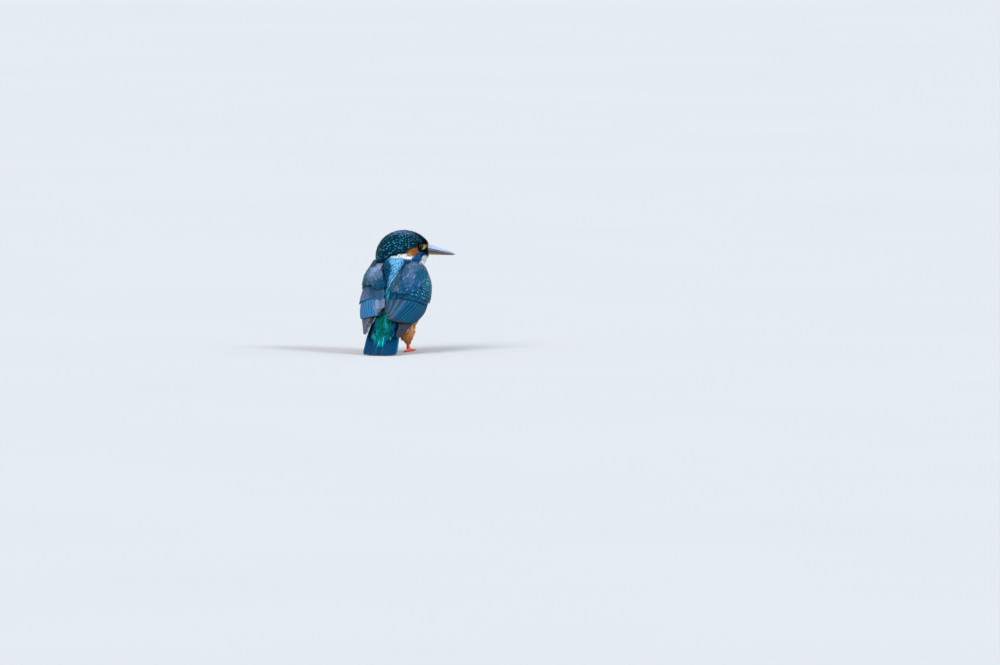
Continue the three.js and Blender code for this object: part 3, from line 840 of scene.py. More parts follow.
def vanes(path, normal, half, columns, thick, camber, ragged, tilt=0.0):
    """Round each point of each path lies a flat ring. Its point at v, from -1 to 1, is half * v to the side of
    the line, camber * half * v^2 in towards the body, and thick / 2 * (1 - v^2) up or down. ragged moves the
    end of each column along the line by so many millimetres. tilt lifts the side where v is positive, by
    tilt * half * v. Returns the points, faces and v."""
    count, rows, _ = path.shape
    along = unit(np.gradient(path, axis=1))
    side = unit(np.cross(normal, along))
    out = np.cross(along, side)
    column = np.concatenate([np.arange(columns), np.arange(columns - 2, 0, -1)])
    v = np.linspace(-1, 1, columns)[column]
    face = np.where(np.arange(len(v)) < columns, 1.0, -1.0)
    rise = -camber * half[..., None] * v**2 + face * thick / 2 * (1 - v**2)
    rise = rise + tilt * half[..., None] * v
    sideways = side[:, :, None] * (half[..., None] * v)[..., None]
    points = path[:, :, None] + sideways + out[:, :, None] * rise[..., None]
    far = ease(np.linspace(0, 1, rows), 0.5, 1.0)[None, :, None] * ragged[:, None, column]
    points = points + along[:, :, None] * far[..., None]
    ring = len(v)
    root = (np.arange(count) * rows * ring)[:, None, None]
    tip = root + (rows - 1) * ring
    quads = (root + tube(rows, ring)).reshape(-1, 4)
    k = np.arange(1, columns - 2)
    strips = np.stack([k, k + 1, ring - 1 - k, ring - k], -1)
    ends = np.array([[0, 1, ring - 1], [columns - 2, columns - 1, columns]])
    caps4 = np.concatenate([root + strips[:, ::-1], tip + strips]).reshape(-1, 4)
    caps3 = np.concatenate([root + ends[:, ::-1], tip + ends]).reshape(-1, 3)
    faces = upright(points.reshape(-1, 3), [np.concatenate([quads, caps4]), caps3])
    return points, faces, np.broadcast_to(v, points.shape[:3])


PATCH = 0.003  # width of a feather's patch on the map


def vane_piece(name, made, s, material, colour, spots, half, length, own, root, shaft=0.0):
    """Turns vanes into a piece with the attributes that the feather finishes read. s is the share of the length
    at every point. Each feather is a small patch at its root's place on the skin's unwrap."""
    points, faces, v = made
    if spots is None:
        spots = np.zeros((len(points), 4))
    spot = np.broadcast_to(spots[:, None, None], v.shape + (4,))
    from_tip = (1 - s) * length[:, None, None]
    lie = np.stack(np.broadcast_arrays((v - shaft) * half[..., None], from_tip, own[:, None, None]), -1)
    patch = place_on_skin(root)[:, None, None] + PATCH / 2 * np.stack([v, 2 * s - 1], -1)
    return mesh_piece(
        name, points.reshape(-1, 3), faces, material,
        colours={"colour": opaque(colour).reshape(-1, 4), "spot": spot.reshape(-1, 4)},
        vectors={"lie": lie.reshape(-1, 3)},
        uv=patch.reshape(-1, 2),
    )


# %% [markdown]
# ## Where feathers grow
# Feathers grow in rows, each row's feathers over the gaps of the row before. We set rows at even steps over a
# form, and feathers at even steps along each row, with a little seeded disorder. Then each root is moved down
# to the skin, and roots that fall inside another form, under a wing or on the bill or eye are dropped.

# %% Rows of roots
def run_of(line):
    """Length along a line up to each of its points."""
    return np.concatenate([[0], np.cumsum(np.linalg.norm(np.diff(line, axis=0), axis=-1))])


def rows_over(form, first, last, along_gap, across_gap, rng):
    """Roots in staggered rows over form(station, angle). The station of row k is where the length along the
    form, counted in gaps, reaches k, and the angle of a root where the length round the row does. The third
    column marks every second feather of every second row."""
    fine = np.linspace(first, last, 500)
    sides = np.radians([0, 60, 120, 180, 240, 300])
    lines = form(fine[:, None], sides[None])
    steps = np.linalg.norm(np.diff(lines, axis=0), axis=-1).mean(1)
    counted = np.concatenate([[0], np.cumsum(steps / along_gap((fine[1:] + fine[:-1]) / 2))])
    row_stations = np.interp(np.arange(0.5, counted[-1], 1.0), counted, fine)
    turns = np.linspace(-math.pi, math.pi, 721)
    found = []
    for k, station in enumerate(row_stations):
        length = run_of(form(station + 0 * turns, turns))
        count = max(3, int(length[-1] / across_gap(station)))
        at = (np.arange(count) + 0.5 * (k % 2) + rng.uniform(-0.22, 0.22, count)) / count % 1
        angle = np.interp(at * length[-1], length, turns)
        shifted = station + rng.uniform(-0.2, 0.2, count) * (row_stations[1] - row_stations[0])
        on_lattice = (k % 2 == 0) & ((np.arange(count) + k // 2 % 2) % 2 == 0)
        found.append(np.stack([shifted, angle, on_lattice], -1))
    return np.concatenate(found)


def flow(p):
    """The way feathers point: on the head back from the bill and more and more downwards towards the nape,
    on the body along its line, over the root of the tail along the tail, and on the neck a blend of the first
    two. The part that points out is taken off."""
    _, f, _ = of_head(p)
    sag = mix(0.25, 1.3, ease(-f, 2, 16))[..., None]
    back = unit(-HEAD_FORWARD - sag * HEAD_UP)
    t = np.clip(sample(STATIONS, p)[..., 0], 0.01, 1.1)
    down = np.stack([
        0.10 * np.sign(p[..., 0]) * (1 - ease(t, 0.0, 0.4)),
        curve(TRUNK, 1, t + 0.01) - curve(TRUNK, 1, t - 0.01),
        curve(TRUNK, 2, t + 0.01) - curve(TRUNK, 2, t - 0.01),
    ], -1)
    down[..., 1:] = unit(down[..., 1:])
    from_root = p[..., 1:] - TAIL_ROOT
    apart = np.abs(from_root @ TAIL_OUT)
    on_tail = (ease(from_root @ TAIL_DOWN, -9, 0) * (1 - ease(apart, 7, 12)))[..., None]
    down = mix(down, np.array([TAIL["lean"] / TAIL_LENGTH, *TAIL_DOWN]), on_tail)
    heading = mix(down, back, head_share(p)[..., None])
    normal = outwards(p)
    return unit(heading - (heading * normal).sum(-1, keepdims=True) * normal), normal


def off_the_eyes(p, clear):
    """Pushes points out from each eye's axis until they are clear millimetres from it."""
    right, f, u = of_head(p)
    df, du = f - EYE["forward"], u - EYE["up"]
    away = np.maximum(np.hypot(df, du), 1e-3)
    push = np.where((away < clear) & (np.abs(right) > 6), clear / away - 1, 0)[..., None]
    return p + push * (df[..., None] * HEAD_FORWARD + du[..., None] * HEAD_UP)


def lay_feathers(root, length, rows, rise, turn, clear=0.0):
    """Walks each feather's line over the body: from its root at the skin, in equal steps along the flow turned
    by a small angle, rising from the skin to its own height over the coat at the tip."""
    line = [to_level(root, -coat_depth(root))]
    normals = []
    for k in range(rows):
        heading, normal = flow(line[-1])
        normals.append(normal)
        if k == rows - 1:
            break
        heading = unit(heading + np.sin(turn)[:, None] * np.cross(normal, heading))
        s = (k + 1) / (rows - 1)
        point = line[-1] + heading * (length / (rows - 1))[:, None]
        if clear:
            point = off_the_eyes(point, clear)
        line.append(to_level(point, mix(-coat_depth(point) + 0.08, rise, s**1.4), rounds=2))
    return np.stack(line, 1), np.stack(normals, 1)


# %% [markdown]
# ## The coat
# Each region has its own length and width of feather: about 1.5 mm at the bill, 3 mm on the crown, 6 mm on the
# nape and 8 to 13 mm on back and rump. The visible end of each feather carries the colour, and its hidden
# root is painted darker, a painted shade under the row above, which sets the rows apart.

# %% The coat's makers
def coat_piece(name, slot, root, length, half, material, rng, rows=6, columns=5, dark=0.75, spots=None,
               ragged=0.16, clear=0.0, thick=0.1, vary=0.16):
    """Feathers from their roots. Half width runs from half of its most at the root, through its most at six
    tenths of the length, to a narrow tip. Colour deepens from the tip to dark times itself at the root, a
    painted shade under the feathers above, less where it is pale, and varies from feather to feather by the
    share vary."""
    count = len(root)
    length = length * rng.uniform(0.88, 1.12, count)
    rise = rng.uniform(-0.05, 0.22, count)
    path, normal = lay_feathers(root, length, rows, rise, rng.normal(0, 0.10, count), clear)
    s = np.linspace(0, 1, rows)
    profile = np.interp(s, [0, 0.3, 0.62, 0.85, 1], [0.5, 0.85, 1.0, 0.78, 0.22])
    halves = (half * rng.uniform(0.9, 1.1, count))[:, None] * profile
    ends = rng.normal(0, 1, (count, columns)) * ragged * length[:, None] * 0.5
    made = vanes(path, normal, halves, columns, thick, 0.12, ends)
    colour = plumage(path)
    # Painted shade: each feather darkens towards its hidden root, less where its colour is pale.
    deep = mix(dark, 0.9, ease(colour.max(-1), 0.45, 0.9))
    shade = mix(deep, 1.0, ease(s, 0.25, 0.8)[None]) * rng.uniform(1 - vary, 1 + vary, count)[:, None]
    warm = 1 + rng.normal(0, 0.05, (count, 1, 3)) * (1 - 0.8 * colour.min(-1, keepdims=True))
    colour = np.clip(colour * shade[..., None] * warm, 0, 1)[:, :, None]
    colour = np.broadcast_to(colour, made[0].shape)
    s = np.broadcast_to(s[:, None], made[2].shape)
    worn = spots(path[:, -2], rng) if spots else None
    own = rng.uniform(0, 1, count)
    return settle(vane_piece(name, made, s, material, colour, worn, halves, length, own, path[:, 0]), slot)


def nape_form(forward, angle):
    """The head's form, closed past its last ring by rings that shrink to its middle."""
    size = np.clip(1 + (forward - HEAD[0, 0]) / 3.6, 0.12, 1)
    return head_form(np.maximum(forward, HEAD[0, 0]), angle, size)


def head_length(f, u=0.0):
    """Length of the head's feathers by how far forward they grow, with longer ones on the throat."""
    along = np.interp(f, [-22, -15, -6, 4, 12, 20, 24], [7.0, 6.2, 4.4, 3.1, 2.2, 1.5, 1.3])
    return along + 1.4 * ease(-u, 4, 8)


def body_length(t):
    """Length of the body's feathers by station."""
    return np.interp(t, [0, 0.1, 0.3, 0.6, 0.85, 1.1], [5.5, 6.5, 8.0, 10.0, 13.0, 13.0])


head_rng = np.random.default_rng(11)
head_rows = rows_over(
    nape_form, 23.7, -22.4, lambda f: 0.3 * head_length(f), lambda f: 0.27 * head_length(f), head_rng
)
head_roots = nape_form(head_rows[:, 0], head_rows[:, 1])
free = sample(FIELD, head_roots)[:, 0] > -1.3
r, f, u = of_head(head_roots)
on_bill = (f > 20.2) & (np.hypot(r / 4.2, (u + 0.1) / np.where(u > 0, 4.1, 4.4)) < 1)
on_eye = np.hypot(f - EYE["forward"], u - EYE["up"]) < EYE["no_roots"]
grows = free & ~on_bill & ~(on_eye & (np.abs(r) > 5))
head_roots, on_lattice = head_roots[grows], head_rows[grows, 2] > 0
print(len(head_roots), "feathers on the head")

# %% [markdown]
# Crown and nape wear pale spots at the tips, round on the crown and longer on the nape, and the malar stripe
# under the cheek wears bright blue ones.

# %% Coat of the head
def head_spots(p, rng, chosen):
    """Colour and radius of the spots of feathers whose tips are at p. On cap and nape the chosen ones wear one,
    with some more on the nape and some fewer on the forehead, and seven in ten on the malar stripe."""
    _, f, u = of_head(p)
    cap = (u > np.interp(f, [-20, -8, 2, 8, 14], [-17, -7, -4, 4.5, 5])) & (f < 15)
    malar = band(f, u, (13.6, -4.6), (8.0, -11.6), (1.4, 3.2)) > 0.5
    bright = mix(PAINT["nape_spot"], PAINT["cap_spot"], ease(f, -12, 2)[:, None])
    colour = np.where(malar[:, None], PAINT["malar_spot"], bright) * rng.uniform(0.6, 1.3, (len(p), 1))
    size = np.interp(f, [-16, -4, 6, 14], [0.42, 0.38, 0.45, 0.4]) * rng.uniform(0.7, 1.2, len(p))
    more = (f < -4) & (rng.uniform(0, 1, len(p)) < 0.3)
    on_malar = rng.uniform(0, 1, len(p)) < 0.7
    fewer = (f < 2) | (rng.uniform(0, 1, len(p)) < 0.65)
    worn = np.where(malar, on_malar, (chosen | more) & cap & fewer)
    return np.column_stack([colour, size * worn])


_, f, u = of_head(head_roots)
white_zone = head_colours(head_roots).min(-1) > 0.4
on_cheek = oval(f, u, (6.2, -4.2), (7, 4), lean=21) > 0.5
before_eye = band(f, u, (14.9, 0.9), (20, 2.9), (2.0, 1.6)) > 0.5
warm_zone = (on_cheek | before_eye) & ~white_zone
blue_zone = ~white_zone & ~warm_zone
regions = {
    "coat_face": ((f > 8) & blue_zone, "cap_feathers", soft_plume),
    "coat_crown": ((f <= 8) & (f > -8) & blue_zone, "cap_feathers", soft_plume),
    "coat_nape": ((f <= -8) & blue_zone, "cap_feathers", soft_plume),
    "coat_cheeks": (warm_zone, "rufous_feathers", warm_plume),
    "coat_collar": (white_zone, "white_feathers", white_plume),
}
for name, (chosen, slot, material) in regions.items():
    roots = head_roots[chosen]
    lengths = head_length(*of_head(roots)[1:])
    blue = material is soft_plume
    coat_piece(
        name, slot, roots, lengths, 0.2 * lengths, material, head_rng, rows=5,
        columns=4 if name == "coat_face" else 5, dark=0.4 if blue else 0.95,
        spots=partial(head_spots, chosen=on_lattice[chosen]) if blue else None,
        clear=EYE["no_feathers"], thick=0.07, vary=0.2 if blue else 0.06,
    )

# %% [markdown]
# The body's feathers are longer and silkier. Under the folded wings nothing shows, so none grow there.

# %% Coat of the body
def under_wing(t, wide):
    """True well inside the edges of a folded wing, at station t and degrees round from the back."""
    upper = np.interp(t, [0.2, 0.35, 0.5, 1.0], [44, 28, 20, 22])
    lower = np.interp(t, [0.2, 0.6, 0.8, 1.0], [96, 80, 70, 50])
    return (t > 0.22) & (t < 0.8) & (wide > upper) & (wide < lower)


trunk_form = partial(around, TRUNK, lift=0)  # the trunk's surface at a station and angle
body_rng = np.random.default_rng(23)
body_rows = rows_over(
    trunk_form, 0.0, 1.12,
    lambda t: np.interp(t, [0.5, 0.65], [0.25, 0.18]) * np.minimum(body_length(t), 10),
    lambda t: np.interp(t, [0.5, 0.65], [0.2, 0.14]) * np.minimum(body_length(t), 9),
    body_rng,
)
body_roots = trunk_form(body_rows[:, 0], body_rows[:, 1])
t, degrees = body_rows[:, 0], np.abs(np.degrees(body_rows[:, 1]))
seen = (sample(FIELD, body_roots)[:, 0] > -1.6) & ~under_wing(t, degrees) & ((t < 0.95) | (degrees > 55))
t, degrees, body_roots = t[seen], degrees[seen], body_roots[seen]
back = degrees < 98
# for each region: where it is, slot, finish, half width for its length, painted shade at the root, variation
regions = {
    "coat_mantle": (back & (t < 0.6), "back_feathers", soft_plume, 0.14, 0.3, 0.2),
    "coat_rump": (back & (t >= 0.6), "back_feathers", soft_plume, 0.07, 0.5, 0.12),
    "coat_breast": (~back & (t < 0.42), "rufous_feathers", warm_plume, 0.17, 0.75, 0.12),
    "coat_belly": (~back & (t >= 0.42), "rufous_feathers", warm_plume, 0.12, 0.75, 0.12),
}
for name, (chosen, slot, material, slimness, dark, vary) in regions.items():
    lengths = body_length(t[chosen])
    coat_piece(
        name, slot, body_roots[chosen], lengths, slimness * lengths, material, body_rng,
        dark=dark, ragged=0.22, vary=vary,
    )

# %% [markdown]
# The thighs wear short rust-coloured feathers down to just over the heel, and the root of the tail is wrapped
# above and below in long soft feathers that lie along it.

# %% Coat of thighs and tail root
def thigh_form(side, station, angle):
    """The thigh as rings round its line of balls: station 0 is high and 1 is low."""
    centres, radii = thigh_line(side)
    station, angle = np.broadcast_arrays(1 - station, angle)
    s = np.linspace(0, 1, len(radii))
    *centre, reach = (np.interp(station, s, values) for values in (*centres.T, radii))
    around_line = np.stack([np.cos(angle), np.sin(angle), 0.25 * np.sin(angle)], -1)
    return np.stack(centre, -1) + reach[..., None] * around_line


def by_tail(across, along, out):
    """The point so far across, down along and out from the root of the tail."""
    across, along, out = (part[..., None] for part in np.broadcast_arrays(across, along, out))
    return np.concatenate([across, TAIL_ROOT + along * TAIL_DOWN + out * TAIL_OUT], -1)


def tail_root_form(s, angle):
    """The flat cone over the root of the tail: an oval across the tail at each share s of its length."""
    half, thick = tail_root_size(s)
    across = half * np.sin(angle) + TAIL["lean"] * CONE_SHARE * s
    return by_tail(across, CONE_SHARE * TAIL_LENGTH * s, thick * np.cos(angle))


leg_rng = np.random.default_rng(31)
for side, word in SIDES:
    form = partial(thigh_form, side)
    rows = rows_over(form, 0.3, 1.0, lambda s: 1.2, lambda s: 1.1, leg_rng)
    roots = form(rows[:, 0], rows[:, 1])
    roots = roots[sample(FIELD, roots)[:, 0] > -1.2]
    coat_piece(
        f"coat_thigh_{word}", "rufous_feathers", roots, np.full(len(roots), 4.2), np.full(len(roots), 0.75),
        warm_plume, leg_rng, rows=5, dark=0.7, ragged=0.22, vary=0.1,
    )

tail_rng = np.random.default_rng(37)
rows = rows_over(tail_root_form, -0.15, 0.6, lambda s: 1.7, lambda s: 1.0, tail_rng)
roots = tail_root_form(rows[:, 0], rows[:, 1])
seen = sample(FIELD, roots)[:, 0] > -1.6
roots, lengths = roots[seen], np.minimum(10.0, 18.0 * (1 - rows[seen, 0]))
over = (roots[:, 1:] - TAIL_ROOT) @ TAIL_OUT > 0
for name, chosen, slot, material, dark in (
    ("coat_tail_over", over, "back_feathers", soft_plume, 0.5),
    ("coat_tail_under", ~over, "rufous_feathers", warm_plume, 0.75),
):
    coat_piece(
        name, slot, roots[chosen], lengths[chosen], np.full(chosen.sum(), 0.75), material, tail_rng,
        rows=7, dark=dark, ragged=0.2, vary=0.13,
    )

# %% [markdown]
# ## Folded wings
# A folded wing is a stack of layers. From the shoulder down come rows of small coverts, then the long inner
# flight feathers, the secondaries, and below them the tips of the primaries. Each layer is a patch of the
# cloak: b runs from its upper edge, near the back, to its lower edge, and a from its start to its tips.

# %% The layers of a wing
SPREAD = {LEFT: 2.4, RIGHT: 0.9}  # how far each wing stands out from the cloak towards its tip


def covert_end(b):
    """Station where the coverts end: 0.72 at the upper edge and 0.57 at the lower."""
    return 0.72 - 0.15 * b


# start and end stations of each layer by b, and the degrees of its upper and lower edges by a
LAYERS = {
    "coverts": (
        lambda b: 0.13 + 0.08 * b**2, covert_end,
        lambda a: mix(34, 6, np.minimum(1, a * 1.6)), lambda a: mix(116, 88, a**2),
    ),
    "secondaries": (
        lambda b: covert_end(b) - 0.05, lambda b: 1.0 - 0.2 * b**2,
        lambda a: mix(7, 12, a**2), lambda a: mix(87, 73, a),
    ),
    "primaries": (
        lambda b: covert_end(0.5 + b / 2) + 0.08, lambda b: 1.17 - 0.05 * (2 * b - 1) ** 2,
        lambda a: mix(34, 60, a), lambda a: mix(104, 112, a),
    ),
}


def in_layer(layer, a, b):
    """Station and degrees round the body of place (a, b) of a layer."""
    start, end, upper, lower = LAYERS[layer]
    return mix(start(b), end(b), a), mix(upper(a), lower(a), b)


def wing_form(side, t, degrees, lift):
    """The cloak's surface on one side, moved outwards by the spread of that wing."""
    angle = np.radians(degrees)
    p = around(CLOAK, t, side * angle, lift)
    p[..., 0] += side * SPREAD[side] * ease(t, 0.3, 0.7) * np.sin(angle)
    return p


def wing_out(side, t, degrees):
    """The direction out of the cloak: square to its two directions, worked out from nearby points."""
    along = wing_form(side, t + 0.004, degrees, 0) - wing_form(side, t - 0.004, degrees, 0)
    across = wing_form(side, t, degrees + 0.5, 0) - wing_form(side, t, degrees - 0.5, 0)
    return unit(np.cross(along, across)) * side


def quill_lines(side, root, tip, lifts, rows, bow=0.0):
    """Lines of flight feathers from root to tip, each a (station, degrees) pair, close together near the tip.
    The line bows sideways by so many degrees, and its lift runs from the first to the second of lifts."""
    s = 1 - (1 - np.linspace(0, 1, rows)) ** 2
    t, degrees = (mix(first[:, None], last[:, None], s) for first, last in zip(root, tip))
    degrees = degrees + np.reshape(bow, (-1, 1)) * np.sin(math.pi * s)
    lift = mix(lifts[0][:, None], lifts[1][:, None], ease(s, 0.0, 0.7))
    return wing_form(side, t, degrees, lift), wing_out(side, t, degrees), s


def round_tip(s, root_width, start, tip_width=0.10):
    """The outline of a feather with a round end: it widens to its most by three tenths of its length, and after
    start it closes like a circle."""
    body = mix(root_width, 1.0, ease(s, 0, 0.3))
    past = np.maximum(s - start, 0) / (1 - start)
    return np.maximum(body * np.sqrt(np.clip(1 - past**2, 0, 1)), tip_width)


# %% [markdown]
# The colours of a flight feather lie along its parts. Its outer web, away from the back, is blue; its inner web
# is brown; its rim is pale where it has worn. The young bird's left wing catches the sky, so its feathers are
# painted greyer and paler than those of the right wing: a painted reflection of the sky.

# %% Colours of flight feathers
def web_colours(side, outer_paint, inner_paint, rim_paint, rim, tip_paint=None, tip_share=0.0, shaft=0.0):
    """A rule that colours (v, s): outer web where v times side is past the shaft, inner web on the other side,
    then a rim near the edges and the tip, whose strength is rim. tip_paint tints the last part."""
    def paints(v, s):
        outer = ease(v * side, shaft - 0.08, shaft + 0.08)[..., None]
        colour = mix(np.broadcast_to(inner_paint, v.shape + (3,)), outer_paint, outer)
        if tip_paint is not None:
            colour = mix(colour, tip_paint, ease(s, 1 - tip_share, 1 - tip_share * 0.35)[..., None] * 0.85)
        edge = np.maximum(ease(np.abs(v), 0.76, 0.98), ease(s, 0.96, 1.0))[..., None]
        return mix(colour, rim_paint, edge * rim)

    return paints


def quill_piece(name, slot, side, lines, half, columns, paints, rng, material, outline, thick=0.16, camber=0.12,
                tilt=0.0, shaft=0.0, ragged=0.0, spots=None, vary=0.1, nodes=(), dark=1.0):
    """One layer of flight feathers or coverts. paints(v, s) gives colours, shaft is where the shaft runs, and
    outline holds what round_tip needs after s. half is the greatest half width."""
    path, normal, s = lines
    count = len(path)
    length = np.linalg.norm(np.diff(path, axis=1), axis=-1).sum(1)
    halves = (half * np.ones(count))[:, None] * round_tip(s, *outline)
    ends = rng.normal(0, 1, (count, columns)) * ragged
    made = vanes(path, normal, halves, columns, thick, camber, ends, tilt * side)
    s = np.broadcast_to(s[:, None], made[2].shape)
    shade = rng.uniform(1 - vary, 1 + vary, (count, 1, 1, 1)) * (1 + rng.normal(0, 0.03, (count, 1, 1, 3)))
    # Painted shade: where dark is under 1, each feather darkens towards its covered root.
    colour = np.clip(paints(made[2], s) * shade * mix(dark, 1, ease(s, 0.2, 0.7))[..., None], 0, 1)
    own = rng.uniform(0, 1, count)
    piece = vane_piece(name, made, s, material, colour, spots, halves, length, own, path[:, 0], shaft * side)
    return settle(piece, slot, *nodes)


# %% [markdown]
# ### Primaries
# Only the last third of the longest feathers of the wing shows, folded together into a blunt point. They are
# dark brown with a paler rim. A painted sheen pales their outer webs a little, more on the left wing, where the
# rim is paler too.

# %% Primaries
wing_rng = np.random.default_rng(41)
for side, word in SIDES:
    if side == LEFT:
        count, half, rim, outer_web_sheen, rim_paint = 6, 3.3, 1.0, 0.07, PAINT["quill_edge"]
        b = np.linspace(-0.3, 0.5, count)
        tip = np.linspace(1.05, 1.21, count), np.linspace(41, 56, count)
    else:
        count, half, rim, outer_web_sheen, rim_paint = 8, 3.0, 0.7, 0.03, mix(PAINT["vane_brown"] * 3, PAINT["grey"], 0.5)
        b = np.linspace(-0.1, 0.4, count)
        tip = in_layer("primaries", np.linspace(0.62, 1.06, count), b * 0.8)
    root = in_layer("primaries", np.zeros(count), b + 0.04)
    stack = -0.75 - 0.03 * np.arange(count)
    # Painted sheen: the outer web is mixed towards the pale edge colour by this share, more on the left wing.
    outer_paint = mix(PAINT["quill"], PAINT["quill_edge"], outer_web_sheen)
    quill_piece(
        f"wing_{word}_primary_quills", "quills", side, quill_lines(side, root, tip, (stack, stack + 0.45), 20),
        half, 9, web_colours(side, outer_paint, PAINT["quill"], rim_paint, rim), wing_rng, stiff_plume,
        (0.45, 0.78), camber=0.04, tilt=0.06, shaft=0.3, vary=0.16, nodes=(f"wing_{word}_primaries",),
    )

# %% [markdown]
# ### Secondaries and tertials
# Eight feathers fan down from under the coverts of the right wing, ten narrower ones on the left. Each shows
# its blue outer web beside the dark edge of its inner web, which draws the stripes of the folded wing; their
# rims are painted dark brown, partly the inner web and partly a painted shadow between the feathers. Nearest
# the back lie the tertials, shorter, broader and greyer, on top of the rest.

# %% Secondaries
BROWN, BLUE = PAINT["vane_brown"], PAINT["vane_blue"]
for side, word in SIDES:
    if side == LEFT:
        count, half, shaft, tip_paint, tip_share = 10, 3.2, 0.0, PAINT["grey"] * 0.6, 0.06
        b, reach = np.linspace(0.08, 0.9, count), np.linspace(0.93, 0.99, count)
        slant = 0.06
        # Painted shadow: the dark brown rims stand for the shade between the feathers as well as their inner
        # webs.
        outer_paint, inner_paint, rim_paint = PAINT["steel"], BROWN * 0.8, BROWN * 0.5
    else:
        count, half, shaft, tip_paint, tip_share = 8, 4.0, 0.25, mix(BROWN, BLUE, 0.35) * 1.3, 0.2
        b, reach = np.linspace(0.06, 0.84, count), np.linspace(1.08, 1.2, count)
        slant = 0.36 - 0.2 * b
        # The dark brown rims are partly painted shadow between the feathers.
        outer_paint, inner_paint, rim_paint = BLUE, mix(BROWN, BLUE, 0.35), BROWN * 0.7
    root = in_layer("secondaries", np.zeros(count), np.clip(b + slant, 0, 1.04))
    tip = in_layer("secondaries", reach, b)
    stack = 1.2 - 0.12 * np.arange(count)
    quill_piece(
        f"wing_{word}_secondary_quills", "wing_feathers", side,
        quill_lines(side, root, tip, (stack - 0.2, stack + 0.1), 24), half, 11,
        web_colours(side, outer_paint, inner_paint, rim_paint, 0.8, tip_paint, tip_share, shaft),
        wing_rng, stiff_plume, (0.85, 0.8), camber=0.03, tilt=0.1, shaft=shaft,
        nodes=(f"wing_{word}_secondaries",),
    )
    if side == LEFT:
        b, reach, slant, half = np.array([0.10, 0.03]), np.array([0.80, 0.66]), 0.06, np.array([3.6, 4.2])
        # On the left the tertials' lilac is a painted reflection of the sky.
        outer_paint, rim_paint = mix(PAINT["grey"], PAINT["lilac"], 0.4), PAINT["quill_edge"] * 0.9
        inner_paint = outer_paint * 0.7
    else:
        b, reach = np.array([0.02, -0.04, -0.10]), np.array([1.06, 0.96, 0.82])
        slant, half = np.array([0.3, 0.2, 0.1]), np.array([3.2, 3.0, 2.6])
        outer_paint, rim_paint = mix(BLUE, PAINT["grey"], 0.35), PAINT["quill_edge"] * 0.3
        inner_paint = mix(BROWN, BLUE, 0.3) * 1.2
    root = in_layer("secondaries", np.zeros(len(b)), b + slant)
    tip = in_layer("secondaries", reach, b)
    stack = 1.5 + 0.2 * np.arange(len(b))
    quill_piece(
        f"wing_{word}_tertials", "wing_feathers", side, quill_lines(side, root, tip, (stack - 0.5, stack), 24),
        half, 11, web_colours(side, outer_paint, inner_paint, rim_paint, 0.6, BROWN * 2, 0.1, shaft=0.1),
        wing_rng, stiff_plume, (0.6, 0.7), camber=0.05, tilt=0.05, shaft=0.1,
    )

# %% [markdown]
# ### Coverts
# Rows of rounded feathers cover the wing like tiles, small at the shoulder and long over the flight feathers:
# thirteen rows on the right wing and seven on the left. From the middle of the wing outwards their tips carry
# pale turquoise spots, few of them on the left.

# %% Coverts
def covert_colours(side, a, b, rng):
    """Colour of a covert by its place. A wing runs from a painted lilac-blue sheen at the shoulder through
    petrol to green-teal at its outer edge. The left wing is painted greyer and paler towards its tip and outer
    edge, a painted reflection of the sky."""
    colour = lay(
        PAINT["petrol"],
        ("vane_blue", 0.45 * oval(b, a, (0.5, 0.95), (0.35, 0.35), soft=1.6)),
        ("teal_green", 0.4 * oval(b, a, (0.75, 0.35), (0.3, 0.35), soft=1.2)),
        # Painted sheen: lilac over the shoulder.
        ("lilac", 0.55 * oval(b, a, (0.3, 0.1), (0.45, 0.22), soft=1.4)),
    )
    if side == LEFT:
        # Painted reflection of the sky: the left wing's coverts greyer and paler.
        pale = mix(PAINT["lilac"], PAINT["grey"], 0.85) * 0.9
        colour = lay(
            colour,
            (pale, 0.25 + 0.6 * ease(a, 0.35, 0.7) * ease(b, 0.2, 0.45)),
            ("teal_green", 0.5 * oval(b, a, (0.35, 0.3), (0.3, 0.22), soft=1.2)),
        )
    return colour * rng.uniform(0.85, 1.15, (len(a), 1))


